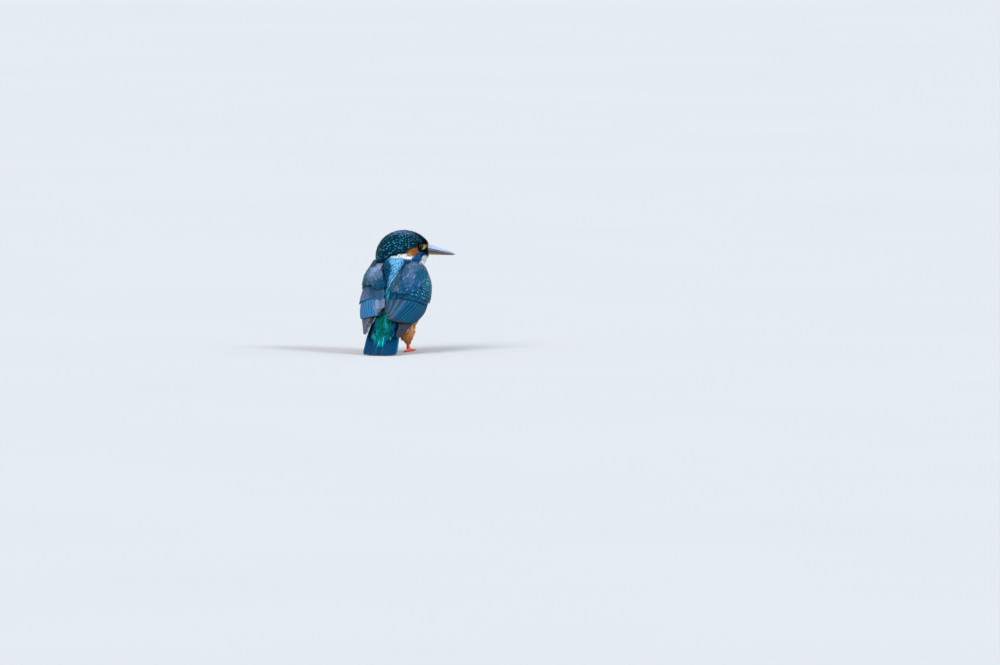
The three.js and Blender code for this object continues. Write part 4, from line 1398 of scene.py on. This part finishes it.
# share down the layer of each row's tips, and feathers in the row
COVERT_ROWS = {
    LEFT: ([0.09, 0.16, 0.235, 0.315, 0.40, 0.50, 0.98], [22, 22, 21, 20, 17, 13, 7], 6),
    RIGHT: (
        [0.08, 0.135, 0.19, 0.245, 0.30, 0.36, 0.42, 0.485, 0.555, 0.63, 0.72, 0.83, 0.97],
        [27, 27, 26, 26, 25, 24, 23, 22, 20, 17, 14, 12, 10], 9,
    ),
}
for side, word in SIDES:
    row_tips, row_counts, first_big = COVERT_ROWS[side]
    row_gaps = np.gradient(row_tips)
    for row_numbers, label in ((range(first_big), "lesser"), (range(first_big, len(row_tips)), "greater")):
        k = np.repeat(row_numbers, [row_counts[n] for n in row_numbers])
        place = np.concatenate([np.arange(row_counts[n]) for n in row_numbers])
        a, gap, each = np.array(row_tips)[k], row_gaps[k], 1 / np.array(row_counts)[k]
        b = (place + 0.25 + 0.5 * (k % 2)) * each
        count = len(a)
        a = a + wing_rng.normal(0, 0.009, count)
        b = np.clip(b + wing_rng.normal(0, 0.16, count) * each, 0.01, 0.99) * mix(1, 0.9, ease(a, 0.5, 1))
        reach = np.where(a > 0.6, 2.2, 2.7) * np.minimum(gap, 0.26)
        root = in_layer("coverts", np.clip(a - reach, -0.12, 1), np.clip(b + 0.25 * reach, 0, 1.02))
        lifts = 0.5 + 1.6 * ease(a, 0.0, 0.4) - 0.3 * ease(a, 0.7, 1.0) + wing_rng.uniform(-0.05, 0.05, count)
        lines = quill_lines(side, root, in_layer("coverts", a, b), (lifts - 0.75, lifts), 11)
        upper = np.minimum(b + each, 1.0)
        edges = [wing_form(side, *in_layer("coverts", a, edge), 1) for edge in (upper, upper - each)]
        spacing = np.linalg.norm(edges[0] - edges[1], axis=-1)
        base = covert_colours(side, a, b, wing_rng)[:, None, None]
        inner = base * (0.9 if label == "lesser" or side == LEFT else 0.45)
        # The left wing's lilac rims are partly a painted reflection of the sky.
        rim_paint = PAINT["lilac"] * 1.1 if side == LEFT else PAINT["teal"] * 1.3
        spotted = (b > 0.36) & (a > 0.1) & (a < 0.9)
        spotted &= wing_rng.uniform(0, 1, count) < (0.8 if side == RIGHT else 0.2)
        spot_paint = PAINT["spot"] * wing_rng.uniform(0.55, 1.0, (count, 1))
        spot_radius = spotted * wing_rng.uniform(0.28, 0.44, count)
        quill_piece(
            f"wing_{word}_{label}_coverts", "wing_feathers", side, lines, 0.86 * spacing, 9,
            web_colours(side, base, inner, rim_paint, 0.45, shaft=0.05),
            wing_rng, stiff_plume if label == "greater" else soft_plume, (0.5, 0.66), thick=0.13, tilt=0.05,
            shaft=0.05, spots=np.column_stack([spot_paint, spot_radius]), ragged=0.12, dark=0.55, vary=0.16,
            nodes=(f"wing_{word}_coverts",) if label == "lesser" else (),
        )

# %% [markdown]
# ### Scapulars
# Long silky feathers from the shoulder blade hang over the top of the wing and join it to the back. On the
# right they are dark petrol blue with grey-green and a painted lilac sheen, on the left a painted lilac-grey
# sheen.

# %% Scapulars
def scapular_paints(side, t, degrees):
    """Petrol. On the right, grey-green near the back, a painted lilac sheen down the middle and green further
    out.
    On the left, a painted lilac sheen over the shoulder and green at its outer edge."""
    if side == RIGHT:
        return lay(
            PAINT["petrol"],
            ("azure_deep", 0.4 * oval(degrees, t, (38, 0.45), (22, 0.16), soft=1.8)),
            ("olive", 0.4 * oval(degrees, t, (9, 0.46), (9, 0.14), soft=1.8)),
            ("lilac", 0.25 * oval(degrees, t, (44, 0.14), (30, 0.08), soft=1.8)),
            ("lilac", 0.3 * oval(degrees, t, (31, 0.27), (8, 0.15), soft=1.9)),
            ("teal_green", 0.4 * oval(degrees, t, (58, 0.33), (14, 0.10), soft=1.9)),
        )
    return lay(
        PAINT["petrol"],
        ("lilac", 0.9 * oval(degrees, t, (34, 0.2), (19, 0.15), soft=1.6)),
        ("teal_green", 0.4 * oval(degrees, t, (58, 0.34), (14, 0.14), soft=1.8)),
    )


scapular_rng = np.random.default_rng(53)
# degrees round from the back, and there the station where the scapulars end
SCAPULAR_END = {
    LEFT: ([5, 27, 31, 70], [0.57, 0.54, 0.44, 0.38]),
    RIGHT: ([5, 20, 38, 50, 62, 75], [0.60, 0.63, 0.58, 0.44, 0.34, 0.25]),
}
# stations, and there the degrees where they begin on each side, and on both sides where they end
SCAPULAR_ROWS = [0.13, 0.24, 0.35, 0.45, 0.66]
SCAPULAR_INNER = {LEFT: [27, 20, 12, 7, 7], RIGHT: [27, 20, 10, 3, 2]}
SCAPULAR_OUTER = ([0.13, 0.4, 0.66], [80, 68, 46])
for side, word in SIDES:
    t, degrees = [], []
    for k, row_t in enumerate(np.arange(0.165, 0.66, 0.024)):
        inner = np.interp(row_t, SCAPULAR_ROWS, SCAPULAR_INNER[side])
        outer = np.interp(row_t, *SCAPULAR_OUTER)
        count = max(3, int((outer - inner) / 3.0))
        share = (np.arange(count) + 0.25 + 0.5 * (k % 2)) / count
        t.append(row_t + scapular_rng.normal(0, 0.008, count))
        degrees.append(mix(inner, outer, share) + scapular_rng.normal(0, 1.0, count))
    t, degrees = np.concatenate(t), np.concatenate(degrees)
    kept = t < np.interp(degrees, *SCAPULAR_END[side])
    t, degrees = t[kept], degrees[kept]
    count = len(t)
    size = np.interp(t, [0.1, 0.6], [0.11, 0.19]) * scapular_rng.uniform(0.8, 1.2, count)
    lifts = 0.5 + 1.95 * ease(t, 0.12, 0.32) + 0.4 * ease(degrees, 8, 26) - 0.5 * ease(t, 0.45, 0.62)
    lifts = lifts + scapular_rng.uniform(-0.1, 0.2, count)
    starts = np.maximum(t - size, scapular_rng.uniform(0.085, 0.12, count))
    sunk = mix(1.2, 0.5, ease(t, 0.3, 0.45)) + 1.5 * (1 - ease(starts, 0.11, 0.2))
    lines = quill_lines(
        side, (starts, degrees + 50 * size), (t, degrees), (lifts - sunk, lifts), 9,
        bow=scapular_rng.normal(0, 1.5, count),
    )
    # Painted sheen: about one scapular in five gets a lilac cast.
    random_sheen = (scapular_rng.uniform(0, 1, count) < 0.2) * scapular_rng.uniform(0.1, 0.35, count)
    base = lay(scapular_paints(side, t, degrees), ("lilac", random_sheen))[:, None, None]
    quill_piece(
        f"wing_{word}_scapulars", "wing_feathers", side, lines, np.interp(t, [0.1, 0.6], [0.8, 1.6]), 7,
        web_colours(side, base, base * 0.8, base * 1.5, 0.4), scapular_rng, soft_plume, (0.5, 0.6), thick=0.1,
        ragged=np.interp(t, [0.3, 0.5], [0.5, 0.15])[:, None], vary=0.25, dark=0.3,
    )

# %% [markdown]
# ## Tail
# Twelve stiff feathers open into a narrow fan, the middle pair on top. Their lower ends rest on the floor. Each
# is deep blue above with a brighter edge and a black shaft.

# %% Tail feathers
def tail_form(u, s, lift):
    """The fan: u from -1 to 1 across it and s down it. It widens from 12.6 to 13.8 mm each side by s = 0.45,
    lies 0.7 mm to the left, arches down by 1.6 u^2, and stays over the floor."""
    half = mix(*TAIL["halves"], np.minimum(1, 2.2 * s))
    p = by_tail(TAIL["lean"] * s - 0.7 + u * half, s * TAIL_LENGTH, lift - TAIL["arch"] * u**2)
    p[..., 2] = np.maximum(p[..., 2], 0.12)
    return p


tail_feather_rng = np.random.default_rng(61)
u = np.array([-0.04, 0.05, -0.2, 0.21, -0.37, 0.38, -0.53, 0.54, -0.69, 0.70, -0.84, 0.85])
count = len(u)
s = 1 - (1 - np.linspace(0, 1, 20)) ** 1.4
ends = 0.985 - 0.07 * u**2 + tail_feather_rng.uniform(-0.006, 0.006, count)
lift = (0.55 - 0.11 * np.arange(count))[:, None] + 0 * s
path = tail_form(u[:, None] * mix(0.88, 1, s), mix(0.02, ends[:, None], s), lift)
roll = 0.32 * u  # each feather leans outwards by this slope
normal = np.stack([roll, TAIL_OUT[0] * np.hypot(1, roll), np.full(count, TAIL_OUT[1])], -1)
normal = np.broadcast_to(unit(normal)[:, None], path.shape)


def tail_colours(v, s):
    """Deep blue with a brighter edge away from the middle pair, darker towards the root."""
    colour = mix(PAINT["tail"] * 0.75, PAINT["tail"] * 1.15, ease(s, 0.3, 0.9)[..., None])
    outer = ease(v * np.sign(u)[:, None, None], 0.55, 0.95)
    colour = mix(colour, PAINT["tail_edge"], outer[..., None] * 0.8)
    return mix(colour, PAINT["quill"] * 0.8, (ease(s, 0.97, 1.0) * 0.7)[..., None])


quill_piece(
    "tail_quills", "tail_feathers", RIGHT, (path, normal, s), 2.9, 11, tail_colours, tail_feather_rng,
    stiff_plume, (0.75, 0.85), thick=0.2, camber=0.1, nodes=("tail_feathers",),
)

# %% [markdown]
# Over the upper two thirds of the tail lie the long tips of the rump's feathers, green near the rump and cyan
# towards their ends.

# %% Streaks over the tail
count = 110
streak_u = np.linspace(-0.74, 0.74, count) + tail_feather_rng.normal(0, 0.05, count)
streak_end = np.interp(np.abs(streak_u), [0, 0.75], [0.86, 0.5]) * tail_feather_rng.uniform(0.55, 1.0, count)
streak_lift = np.interp(np.abs(streak_u), [0, 0.75], [2.0, 0.9]) + tail_feather_rng.uniform(-0.25, 0.25, count)
streak_s = 1 - (1 - np.linspace(0, 1, 12)) ** 1.3
streak_path = tail_form(
    streak_u[:, None] * mix(0.8, 1, streak_s), mix(0.06, streak_end[:, None], streak_s),
    streak_lift[:, None] * mix(1, 0.45, streak_s),
)
streak_normal = np.broadcast_to([0.0, *TAIL_OUT], streak_path.shape)
streak_kind = tail_feather_rng.uniform(0, 1, count) + 0.3 * (streak_end - 0.6) - 0.5 * np.abs(streak_u)
streak_paint = lay(PAINT["rump_blue"] * 0.7, ("rump", streak_kind > 0.05), ("rump_cyan", streak_kind > 0.5))
streak_paint = streak_paint[:, None, None]
quill_piece(
    "tail_streaks", "back_feathers", RIGHT, (streak_path, streak_normal, streak_s), 0.8, 5,
    lambda v, s: mix(PAINT["rump"] * 0.7, streak_paint, ease(s, 0.3, 0.8)[..., None]),
    tail_feather_rng, soft_plume, (0.6, 0.3, 0.08), thick=0.12, ragged=0.7, vary=0.3,
)

# %% [markdown]
# ## Bill
# A kingfisher's bill is a straight dagger in two halves. The upper half has a ridge along its top and a slit
# of a nostril near its root. Horn is smooth and glossy, with faint lines along it, and the young bird's tip is
# pale. The top of the upper half is painted pale lilac-blue, a painted reflection, and the nostril is painted
# black as painted shade. The lower half is browner below.

# %% Bill
BILL = {"root": 18.4, "face": 20.6, "tip": 47.6, "lower_tip": 46.7, "half": 4.1, "above": 4.0, "below": 4.3,
        "point": 0.32, "hook": 0.5, "gap": 0.14}
# how far down the bill the nostril lies and how far round the upper half, and its reach both ways
NOSTRIL = {"share": 0.115, "angle": 0.62, "long": 0.05, "wide": 0.09, "deep": 0.13}


def bill_half(up):
    """One half of the bill as closed rings from root to tip. With s from 0 at the feathers to 1 at the tip,
    width and height shrink as (1 - s)^0.82. Each ring is an arch, width * cos(angle) across and
    height * sin(angle) tall, drawn to a ridge on top, and is closed by a hollow floor."""
    rings, arch, base = 70, 41, 15
    tip = BILL["tip"] if up > 0 else BILL["lower_tip"]
    y = BILL["root"] + (tip - BILL["root"]) * (1 - (1 - np.linspace(0, 1, rings)) ** 1.25)
    s = np.clip((y - BILL["face"]) / (tip - BILL["face"]), -0.1, 1)[:, None]
    taper = np.clip(1 - s, 0, None) ** 0.82
    round_end = np.sqrt(np.clip((1 - s) / 0.02, 0, 1))
    half = (BILL["point"] + BILL["half"] * taper) * round_end
    tall = (BILL["point"] + (BILL["above"] if up > 0 else BILL["below"]) * taper) * round_end
    angle = np.linspace(0, math.pi, arch)
    floor_x = np.linspace(-1, 1, base + 2)[1:-1]
    x = np.concatenate([np.sign(np.cos(angle)) * np.abs(np.cos(angle)) ** 0.92, floor_x])
    z = np.concatenate([np.sin(angle) ** 0.95 * (1 - 0.10 * np.sin(2 * angle) ** 2), 0.12 * (1 - floor_x**2)])
    from_top = np.concatenate([np.abs(angle - math.pi / 2), np.full(base, math.pi)])
    wide = (from_top - (math.pi / 2 - NOSTRIL["angle"])) / NOSTRIL["wide"]
    slit = np.exp(-(((s - NOSTRIL["share"]) / NOSTRIL["long"]) ** 2) - wide**2)
    pinch = 1 - NOSTRIL["deep"] * slit if up > 0 else 1
    seam = up * BILL["gap"] / 2 - BILL["hook"] * np.clip(s, 0, 1) ** 2
    right = half * x * pinch
    points = in_head(right, y[:, None] + 0 * right, seam + up * tall * z).reshape(-1, 3)
    j = np.arange(len(x))
    ends = np.stack([j[::-1], (rings - 1) * len(x) + j])
    where = np.stack(np.broadcast_arrays(s, z, slit), -1)
    return points, upright(points, [tube(rings, len(x)), ends]), where.reshape(-1, 3)


def bill_material(name, paint, ridge_sheen_and_tone, tip_paint, rise):
    """Glossy horn. The attribute "horn" holds the share of the length, the height in the half and the nostril.
    Faint lines run along it. Away from the seam the half wears a second colour, which comes in from the first
    to
    the second height of rise: on the upper half a painted pale blue reflection along the ridge, on the lower a
    browner tone. The worn tip is paler."""
    material, tree = shader(
        name, Roughness=0.3, Specular_IOR_Level=0.6, Coat_Weight=0.35, Coat_Roughness=0.18
    )
    share, height, slit = node(tree, "ShaderNodeSeparateXYZ", {0: attribute(tree, "horn")["Vector"]}).outputs
    lines = stretched_noise(tree, (share, 3.0), (height, 9.0))
    mottle = ramp(tree, lines, 0.3, 0.75)
    colour = blend_colour(tree, mottle, (*(paint * 0.93), 1), (*(paint * 1.07), 1))
    low = maths(tree, "MULTIPLY", ramp(tree, height, *rise), ramp(tree, share, 1.1, 0.5))
    colour = blend_colour(tree, low, colour, (*ridge_sheen_and_tone, 1))
    colour = blend_colour(tree, ramp(tree, share, 0.93, 0.995), colour, (*tip_paint, 1))
    # The nostril slit is painted near black as painted shade; the seam where the halves meet is near black too.
    edge = maths(tree, "MAXIMUM", ramp(tree, slit, 0.35, 0.8), ramp(tree, height, 0.16, 0.06))
    colour = blend_colour(tree, edge, colour, (0.002, 0.002, 0.002, 1))
    rough = maths(tree, "ADD", maths(tree, "MULTIPLY", mottle, 0.08), 0.26)
    wear(tree, colour, rough, lines, strength=0.1, distance=0.00001)
    return material


# On the upper half the pale lilac-blue 8ea6cc along the ridge is a painted reflection; the lower half's 8a7248
# is its browner underside.
for up, word, codes, rise in (
    (1, "upper", ("2c3448", "8ea6cc", "e0b080"), (0.15, 0.45)),
    (-1, "lower", ("302f2f", "8a7248", "e0a070"), (0.35, 0.85)),
):
    *half, where = bill_half(up)
    material = bill_material(f"{word} horn", *map(tint, codes), rise)
    settle(mesh_piece(f"bill_{word}_horn", *half, material, vectors={"horn": where}), "horn", f"bill_{word}")

# %% [markdown]
# ## Eyes
# The eye is a wet dark ball with a slightly raised clear front. Its iris is so dark a brown that it is hard to
# tell from the pupil. Around it lies a band of bare lid, which covers the ball out to the feathers.

# %% Eyes and lids
def closed_rings(first, ring, last, along):
    """A closed skin over rings of points, with a point at each end: its points, its faces, and along, which
    holds a value for the first point, each ring and the last point, given to every point."""
    rings, size = ring.shape[:2]
    j = np.arange(size)
    after = (j + 1) % size
    start = 1 + (rings - 1) * size
    caps = [[0 * j, 1 + after, 1 + j], [0 * j + start + size, start + j, start + after]]
    points = np.concatenate([[first], ring.reshape(-1, 3), [last]])
    faces = upright(points, [tube(rings, size) + 1, np.concatenate([np.stack(cap, -1) for cap in caps])])
    return points, faces, np.repeat(along, [1] + [size] * rings + [1])


def circle(count):
    """Angles at even steps round a circle."""
    return np.linspace(0, 2 * math.pi, count, endpoint=False)


def eye_axes(side):
    """The eye's centre, and its directions out, forward and up. It looks sideways and a little forward."""
    centre = in_head(side * EYE["right"], EYE["forward"], EYE["up"])
    out = unit(side * HEAD_RIGHT + 0.16 * HEAD_FORWARD)
    up = unit(HEAD_UP - (HEAD_UP @ out) * out)
    return centre, out, np.cross(up, out) * side, up


def eyeball(side, rings=44, around_count=56):
    """A ball of radius 2.8 with its poles on the line of sight. At angle q from that line the radius grows by
    0.22 (1 - (q / 0.75)^2) in front, which is the clear front of the eye."""
    centre, out, forward, up = eye_axes(side)
    q = np.linspace(0, math.pi, rings + 2)
    radius = EYE["radius"] + 0.22 * np.clip(1 - (q / 0.75) ** 2, 0, 1)
    turn = circle(around_count)[:, None]
    aside = np.cos(turn) * forward + np.sin(turn) * up
    inner = q[1:-1, None, None]
    ring = centre + radius[1:-1, None, None] * (np.cos(inner) * out + np.sin(inner) * aside)
    return closed_rings(centre + radius[0] * out, ring, centre - radius[-1] * out, q)


def eye_material():
    """Wet eye: pupil, speckled dark brown iris, then nearly black, by the attribute "sight"."""
    material, tree = shader(
        "wet eye", Roughness=0.3, Specular_IOR_Level=0.0, Coat_Weight=0.6, Coat_Roughness=0.0
    )
    sight = attribute(tree, "sight")["Fac"]
    iris = speckle(tree, 3500.0, (0.003, 0.002, 0.0015, 1), (0.012, 0.005, 0.003, 1))
    colour = blend_colour(tree, ramp(tree, sight, 0.36, 0.42), (0.0015, 0.0015, 0.002, 1), iris)
    colour = blend_colour(tree, ramp(tree, sight, 0.66, 0.78), colour, (0.004, 0.003, 0.003, 1))
    wear(tree, colour)
    return material


def lid(side, around_count=96, section=20):
    """A band of bare lid round the eye. It starts 1.7 mm from the line of sight, a little more in the corners,
    reaches a millimetre further out, and rests on the ball. Its edges are round, with fine beads."""
    centre, out, forward, up = eye_axes(side)
    turn, round_section = circle(around_count)[:, None], circle(section)
    reach = 1.9 * (1 + 0.10 * np.cos(2 * turn) + 0.05 * np.abs(np.cos(turn)) ** 8)
    thick = 0.2 * (1 + 0.06 * np.sin(30 * turn))
    r = reach + thick * np.where(np.cos(round_section) > 0, 4.0, 0.9) * np.cos(round_section)
    h = np.sqrt(np.clip((EYE["radius"] + 0.1) ** 2 - r**2, 0.2, None)) + thick * 0.75 * np.sin(round_section)
    across, high = (r * np.cos(turn))[..., None], (r * np.sin(turn))[..., None]
    points = (centre + across * forward + high * up + h[..., None] * out).reshape(-1, 3)
    return points, upright(points, [tube(around_count + 1, section) % len(points)])


wet_eye = eye_material()
lid_material = speckled(
    "bare lid", 2500.0, (0.001, 0.001, 0.0015), (0.006, 0.006, 0.008), Roughness=0.8, Specular_IOR_Level=0.05
)
for side, word in SIDES:
    *ball, sight = eyeball(side)
    settle(mesh_piece(f"eyeball_{word}", *ball, wet_eye, floats={"sight": sight}), "eye", f"eye_{word}")
    settle(mesh_piece(f"lid_{word}", *lid(side), lid_material), "cap_feathers")

# %% [markdown]
# ## Legs, feet and claws
# The legs are short and coral red. Broad plates, the scutes, cover the front of the leg and the top of each
# toe, and the sole is finely pebbled. The third and fourth toes lie side by side, joined for most of their
# length. We melt heel, toes and leg into one field, as we did for the body, and raise the scutes on it.

# %% Feet
LEG = {"x": 9.6, "y": 10.5, "z": 1.2, "heel": 1.6, "radius": 1.25}
# turn in degrees, length, radius
TOES = {"inner": (20, 9, 1.05), "middle": (0, 11.5, 1.15), "outer": (-9, 10.5, 1.05), "hind": (176, 6.5, 1.05)}
CLAW = {"length": 3.6, "radius": 0.6, "tip": 0.32, "gap": 0.3}
SCUTE = {"gap": 0.9, "height": 0.11}
FOOT_STEP = 0.22  # spacing of the feet's grid


def from_heel(side, toe, reach, z):
    """The point so far out from the heel in a toe's direction, at height z."""
    heading = math.radians(TOES[toe][0]) * side
    return np.stack([side * LEG["x"] - reach * math.sin(heading), LEG["y"] + reach * math.cos(heading), z], -1)


def toe_line(side, toe, s):
    """Points down the middle of a toe. The toe sinks by 0.5 mm along its length and humps by 0.35 mm."""
    return from_heel(side, toe, TOES[toe][1] * s, LEG["z"] - 0.5 * s + 0.35 * np.sin(math.pi * s))


def toe_radius(toe, s):
    """A toe thins by a third to its claw, and swells a little at each joint."""
    return TOES[toe][2] * (1.15 - 0.4 * s) * (1 + 0.06 * np.cos(6 * math.pi * s))


def shin_line(side, s):
    """Points up the bare leg, from the heel to inside the feathers."""
    table = np.array([[0, 10.5, 1.2], [0.33, 9.1, 6], [0.67, 7.3, 11], [1, 5.9, 15]])
    return np.stack([np.full_like(s, side * LEG["x"]), curve(table, 1, s), curve(table, 2, s)], -1)


def foot_field(side):
    """The melted balls of heel, toes and shin, as a field on a fine grid. Returns the grid's lowest corner, its
    points, the field, and the middle line of each toe and of the shin."""
    low = np.array([side * LEG["x"] - 6.5, LEG["y"] - 11.0, -0.6])
    _, grid = grid_of(low, FOOT_STEP, (60, 110, 76))
    field = np.linalg.norm(grid - (side * LEG["x"], LEG["y"], LEG["z"] + 0.1), axis=-1) - LEG["heel"]
    s = np.linspace(0, 1, 26)
    lines = [(toe_line(side, toe, s), toe_radius(toe, s)) for toe in TOES]
    s = np.linspace(0, 1, 30)
    lines.append((shin_line(side, s), mix(1.4, 1.2, s)))
    for centres, radii in lines:
        field = melt(field, balls_gap(grid, centres, radii), 0.5)
    return low, grid, field, [centres for centres, _ in lines]


def leg_piece(side, word, material):
    """One leg, cut level at the floor. Scutes are rounded steps 0.9 mm apart and 0.11 mm high on the top of the
    toes and the front and back of the shin; elsewhere the skin is left to the pebbles of its material."""
    low, grid, field, lines = foot_field(side)
    points, faces = surface_net(np.maximum(field, -grid[..., 2]), FOOT_STEP, low)
    slope = np.stack(np.gradient(field, FOOT_STEP), -1)
    cell = np.clip(((points - low) / FOOT_STEP).round().astype(int), 0, np.array(field.shape) - 1)
    normal = unit(slope[tuple(cell.T)])
    centres = np.concatenate(lines)
    lengths = np.concatenate([run_of(line) for line in lines])
    ways = unit(np.concatenate([np.gradient(line, axis=0) for line in lines]))
    nearest = ((points[:, None] - centres) ** 2).sum(-1).argmin(1)
    is_shin = nearest >= len(centres) - len(lines[-1])
    along = lengths[nearest] + ((points - centres[nearest]) * ways[nearest]).sum(-1)
    top = np.where(is_shin, ease(np.abs(normal[:, 1]), 0.0, 0.5), ease(normal[:, 2], -0.05, 0.5))
    step = np.abs(np.sin(math.pi * along / SCUTE["gap"])) ** 0.5
    height = np.where(points[:, 2] < 0.12, 0, SCUTE["height"] * (step - 0.6) * top)
    points = points + normal * height[:, None]
    points[:, 2] = np.maximum(points[:, 2], 0)
    piece = mesh_piece(f"leg_{word}", points, faces, material, floats={"scute": step * top})
    return settle(piece, "coral_skin", f"foot_{word}", f"tarsus_{word}")


def leg_material():
    """Scaled coral skin: pebbles 0.4 mm across, darker in the cracks and between scutes."""
    material, tree = shader(
        "coral skin", Roughness=0.42, Specular_IOR_Level=0.5, Subsurface_Weight=0.12, Subsurface_Scale=0.0008,
        Subsurface_Radius=(1.0, 0.3, 0.15),
    )
    place = node(tree, "ShaderNodeTexCoord").outputs["Object"]
    pebbles = node(tree, "ShaderNodeTexVoronoi", {"Vector": place, "Scale": 2600.0}, feature="DISTANCE_TO_EDGE")
    crack = ramp(tree, pebbles.outputs["Distance"], 0.0, 0.12)
    ridge = ramp(tree, attribute(tree, "scute")["Fac"], 0.0, 0.6)
    either = maths(tree, "MAXIMUM", ridge, maths(tree, "MULTIPLY", crack, 0.75))
    colour = blend_colour(tree, either, (*PAINT["coral_dark"], 1), (*PAINT["coral"], 1))
    wear(tree, colour, height=crack, strength=0.6, distance=0.0001)
    return material


coral = leg_material()
for side, word in SIDES:
    leg_piece(side, word, coral)


def claw_rings(side, toe, rings=24, around_count=20):
    """A claw: rings that shrink to a blunt point along a line that humps by 0.55 mm and comes down to the
    floor. Its root lies inside the end of the toe."""
    s = np.linspace(-0.16, 1, rings)
    height = mix(0.7, CLAW["tip"], s) + 0.55 * np.sin(math.pi * np.clip(s, 0, 1))
    line = from_heel(side, toe, TOES[toe][1] + CLAW["gap"] + CLAW["length"] * s, height)
    way = unit(np.gradient(line, axis=0))
    sideways = unit(np.cross(way, [0.0, 0.0, 1.0]))
    up = np.cross(sideways, way)
    turn = circle(around_count)[:, None]
    radius = CLAW["radius"] * (1 - 0.62 * np.clip(s, 0, 1)) * np.sqrt(np.clip((1.02 - s) / 0.12, 0, 1))
    aside = 0.8 * np.cos(turn) * sideways[:, None] + np.sin(turn) * up[:, None]
    ring = line[:, None] + radius[:, None, None] * aside
    ring[..., 2] = np.maximum(ring[..., 2], 0.01)
    return closed_rings(line[0], ring, line[-1], [0, *s, 1])


claw_horn, horn_tree = shader("claw horn", Roughness=0.28, Specular_IOR_Level=0.6)
past_root = ramp(horn_tree, attribute(horn_tree, "share")["Fac"], 0.0, 0.5)
claw_colour = blend_colour(horn_tree, past_root, (0.10, 0.04, 0.025, 1), (0.014, 0.012, 0.014, 1))
wear(horn_tree, speckle(horn_tree, 1800.0, claw_colour, (0.12, 0.10, 0.09, 1), share=0.25))
for side, word in SIDES:
    for toe in TOES:
        *claw, share = claw_rings(side, toe)
        claw = mesh_piece(f"talon_{word}_{toe}", *claw, claw_horn, floats={"share": share})
        settle(claw, "horn", f"claw_{word}_{toe}")

# %% [markdown]
# ## Studio and camera
# A pale floor, a soft sky and three distant soft lights. The camera looks from behind the bird's right, a
# little above it, from far off with a long lens, so nothing is stretched.

# %% Floor, lights, camera
def light(name, comes_from, spread, power, colour):
    """A distant soft light: the direction it comes from, its spread in degrees, and its power."""
    data = bpy.data.lights.new(name, "SUN")
    data.angle, data.energy, data.color = math.radians(spread), power, colour
    lamp = bpy.data.objects.new(name, data)
    lamp.rotation_euler = Vector(comes_from).to_track_quat("Z", "Y").to_euler()
    bpy.context.scene.collection.objects.link(lamp)


floor_material = speckled(
    "studio floor", 3.0, (0.50, 0.51, 0.52), (0.53, 0.54, 0.55), Roughness=0.9, Specular_IOR_Level=0.2
)
FLOOR_HALF = 60000.0  # the floor reaches 60 m each way
floor_corners = np.array([[-1, -1, 0], [1, -1, 0], [1, 1, 0], [-1, 1, 0]]) * FLOOR_HALF
mesh_piece("floor", floor_corners - SHIFT, np.array([[0, 1, 2, 3]]), floor_material)

world = bpy.data.worlds.new("soft sky")
world.use_nodes = True
sky = world.node_tree.nodes["Background"]
sky.inputs["Color"].default_value = (0.84, 0.90, 1.0, 1)
sky.inputs["Strength"].default_value = 0.68
bpy.context.scene.world = world
bpy.context.scene.view_settings.view_transform = "Standard"

light("key", (-0.37, -0.6, 0.7), 34, 2.5, (1.0, 0.98, 0.95))
light("top", (0.75, -0.1, 0.62), 15, 1.9, (0.86, 0.92, 1.0))
light("fill", (0.93, 0.2, 0.05), 70, 1.5, (0.94, 0.97, 1.0))

AZIMUTH, ELEVATION = math.radians(16), math.radians(4)
LENS, SENSOR, FRAME_WIDTH = 500.0, 36.0, 1000
MM_PER_PIXEL = 0.8
PICTURE_MIDDLE = (85.36, 18.8)  # millimetres right of the origin and up from the tail's tip
distance = FRAME_WIDTH * MM_PER_PIXEL * LENS / SENSOR
camera_right = np.array([math.cos(AZIMUTH), math.sin(AZIMUTH), 0])
camera_view = np.array([
    -math.sin(AZIMUTH) * math.cos(ELEVATION), math.cos(AZIMUTH) * math.cos(ELEVATION), -math.sin(ELEVATION)
])
camera_up = np.cross(camera_right, camera_view)
middle = PICTURE_MIDDLE[0] * camera_right + (TAIL_TIP[0] * camera_up[1] + PICTURE_MIDDLE[1]) * camera_up
spot_on_axis = (middle + SHIFT) / 1000
camera_data = bpy.data.cameras.new("camera")
camera_data.lens, camera_data.sensor_width, camera_data.clip_end = LENS, SENSOR, 200
camera = bpy.data.objects.new("camera", camera_data)
camera.location = Vector(spot_on_axis - camera_view * distance / 1000)
camera.rotation_euler = Vector(camera_view).to_track_quat("-Z", "Y").to_euler()
bpy.context.scene.collection.objects.link(camera)
bpy.context.scene.camera = camera
print("camera stands", round(camera.location.z, 2), "m high and", round(distance / 1000, 2), "m away")

# %% [markdown]
# ## Finish
# Last, the view layer is updated.

# %% Finish
bpy.context.view_layer.update()
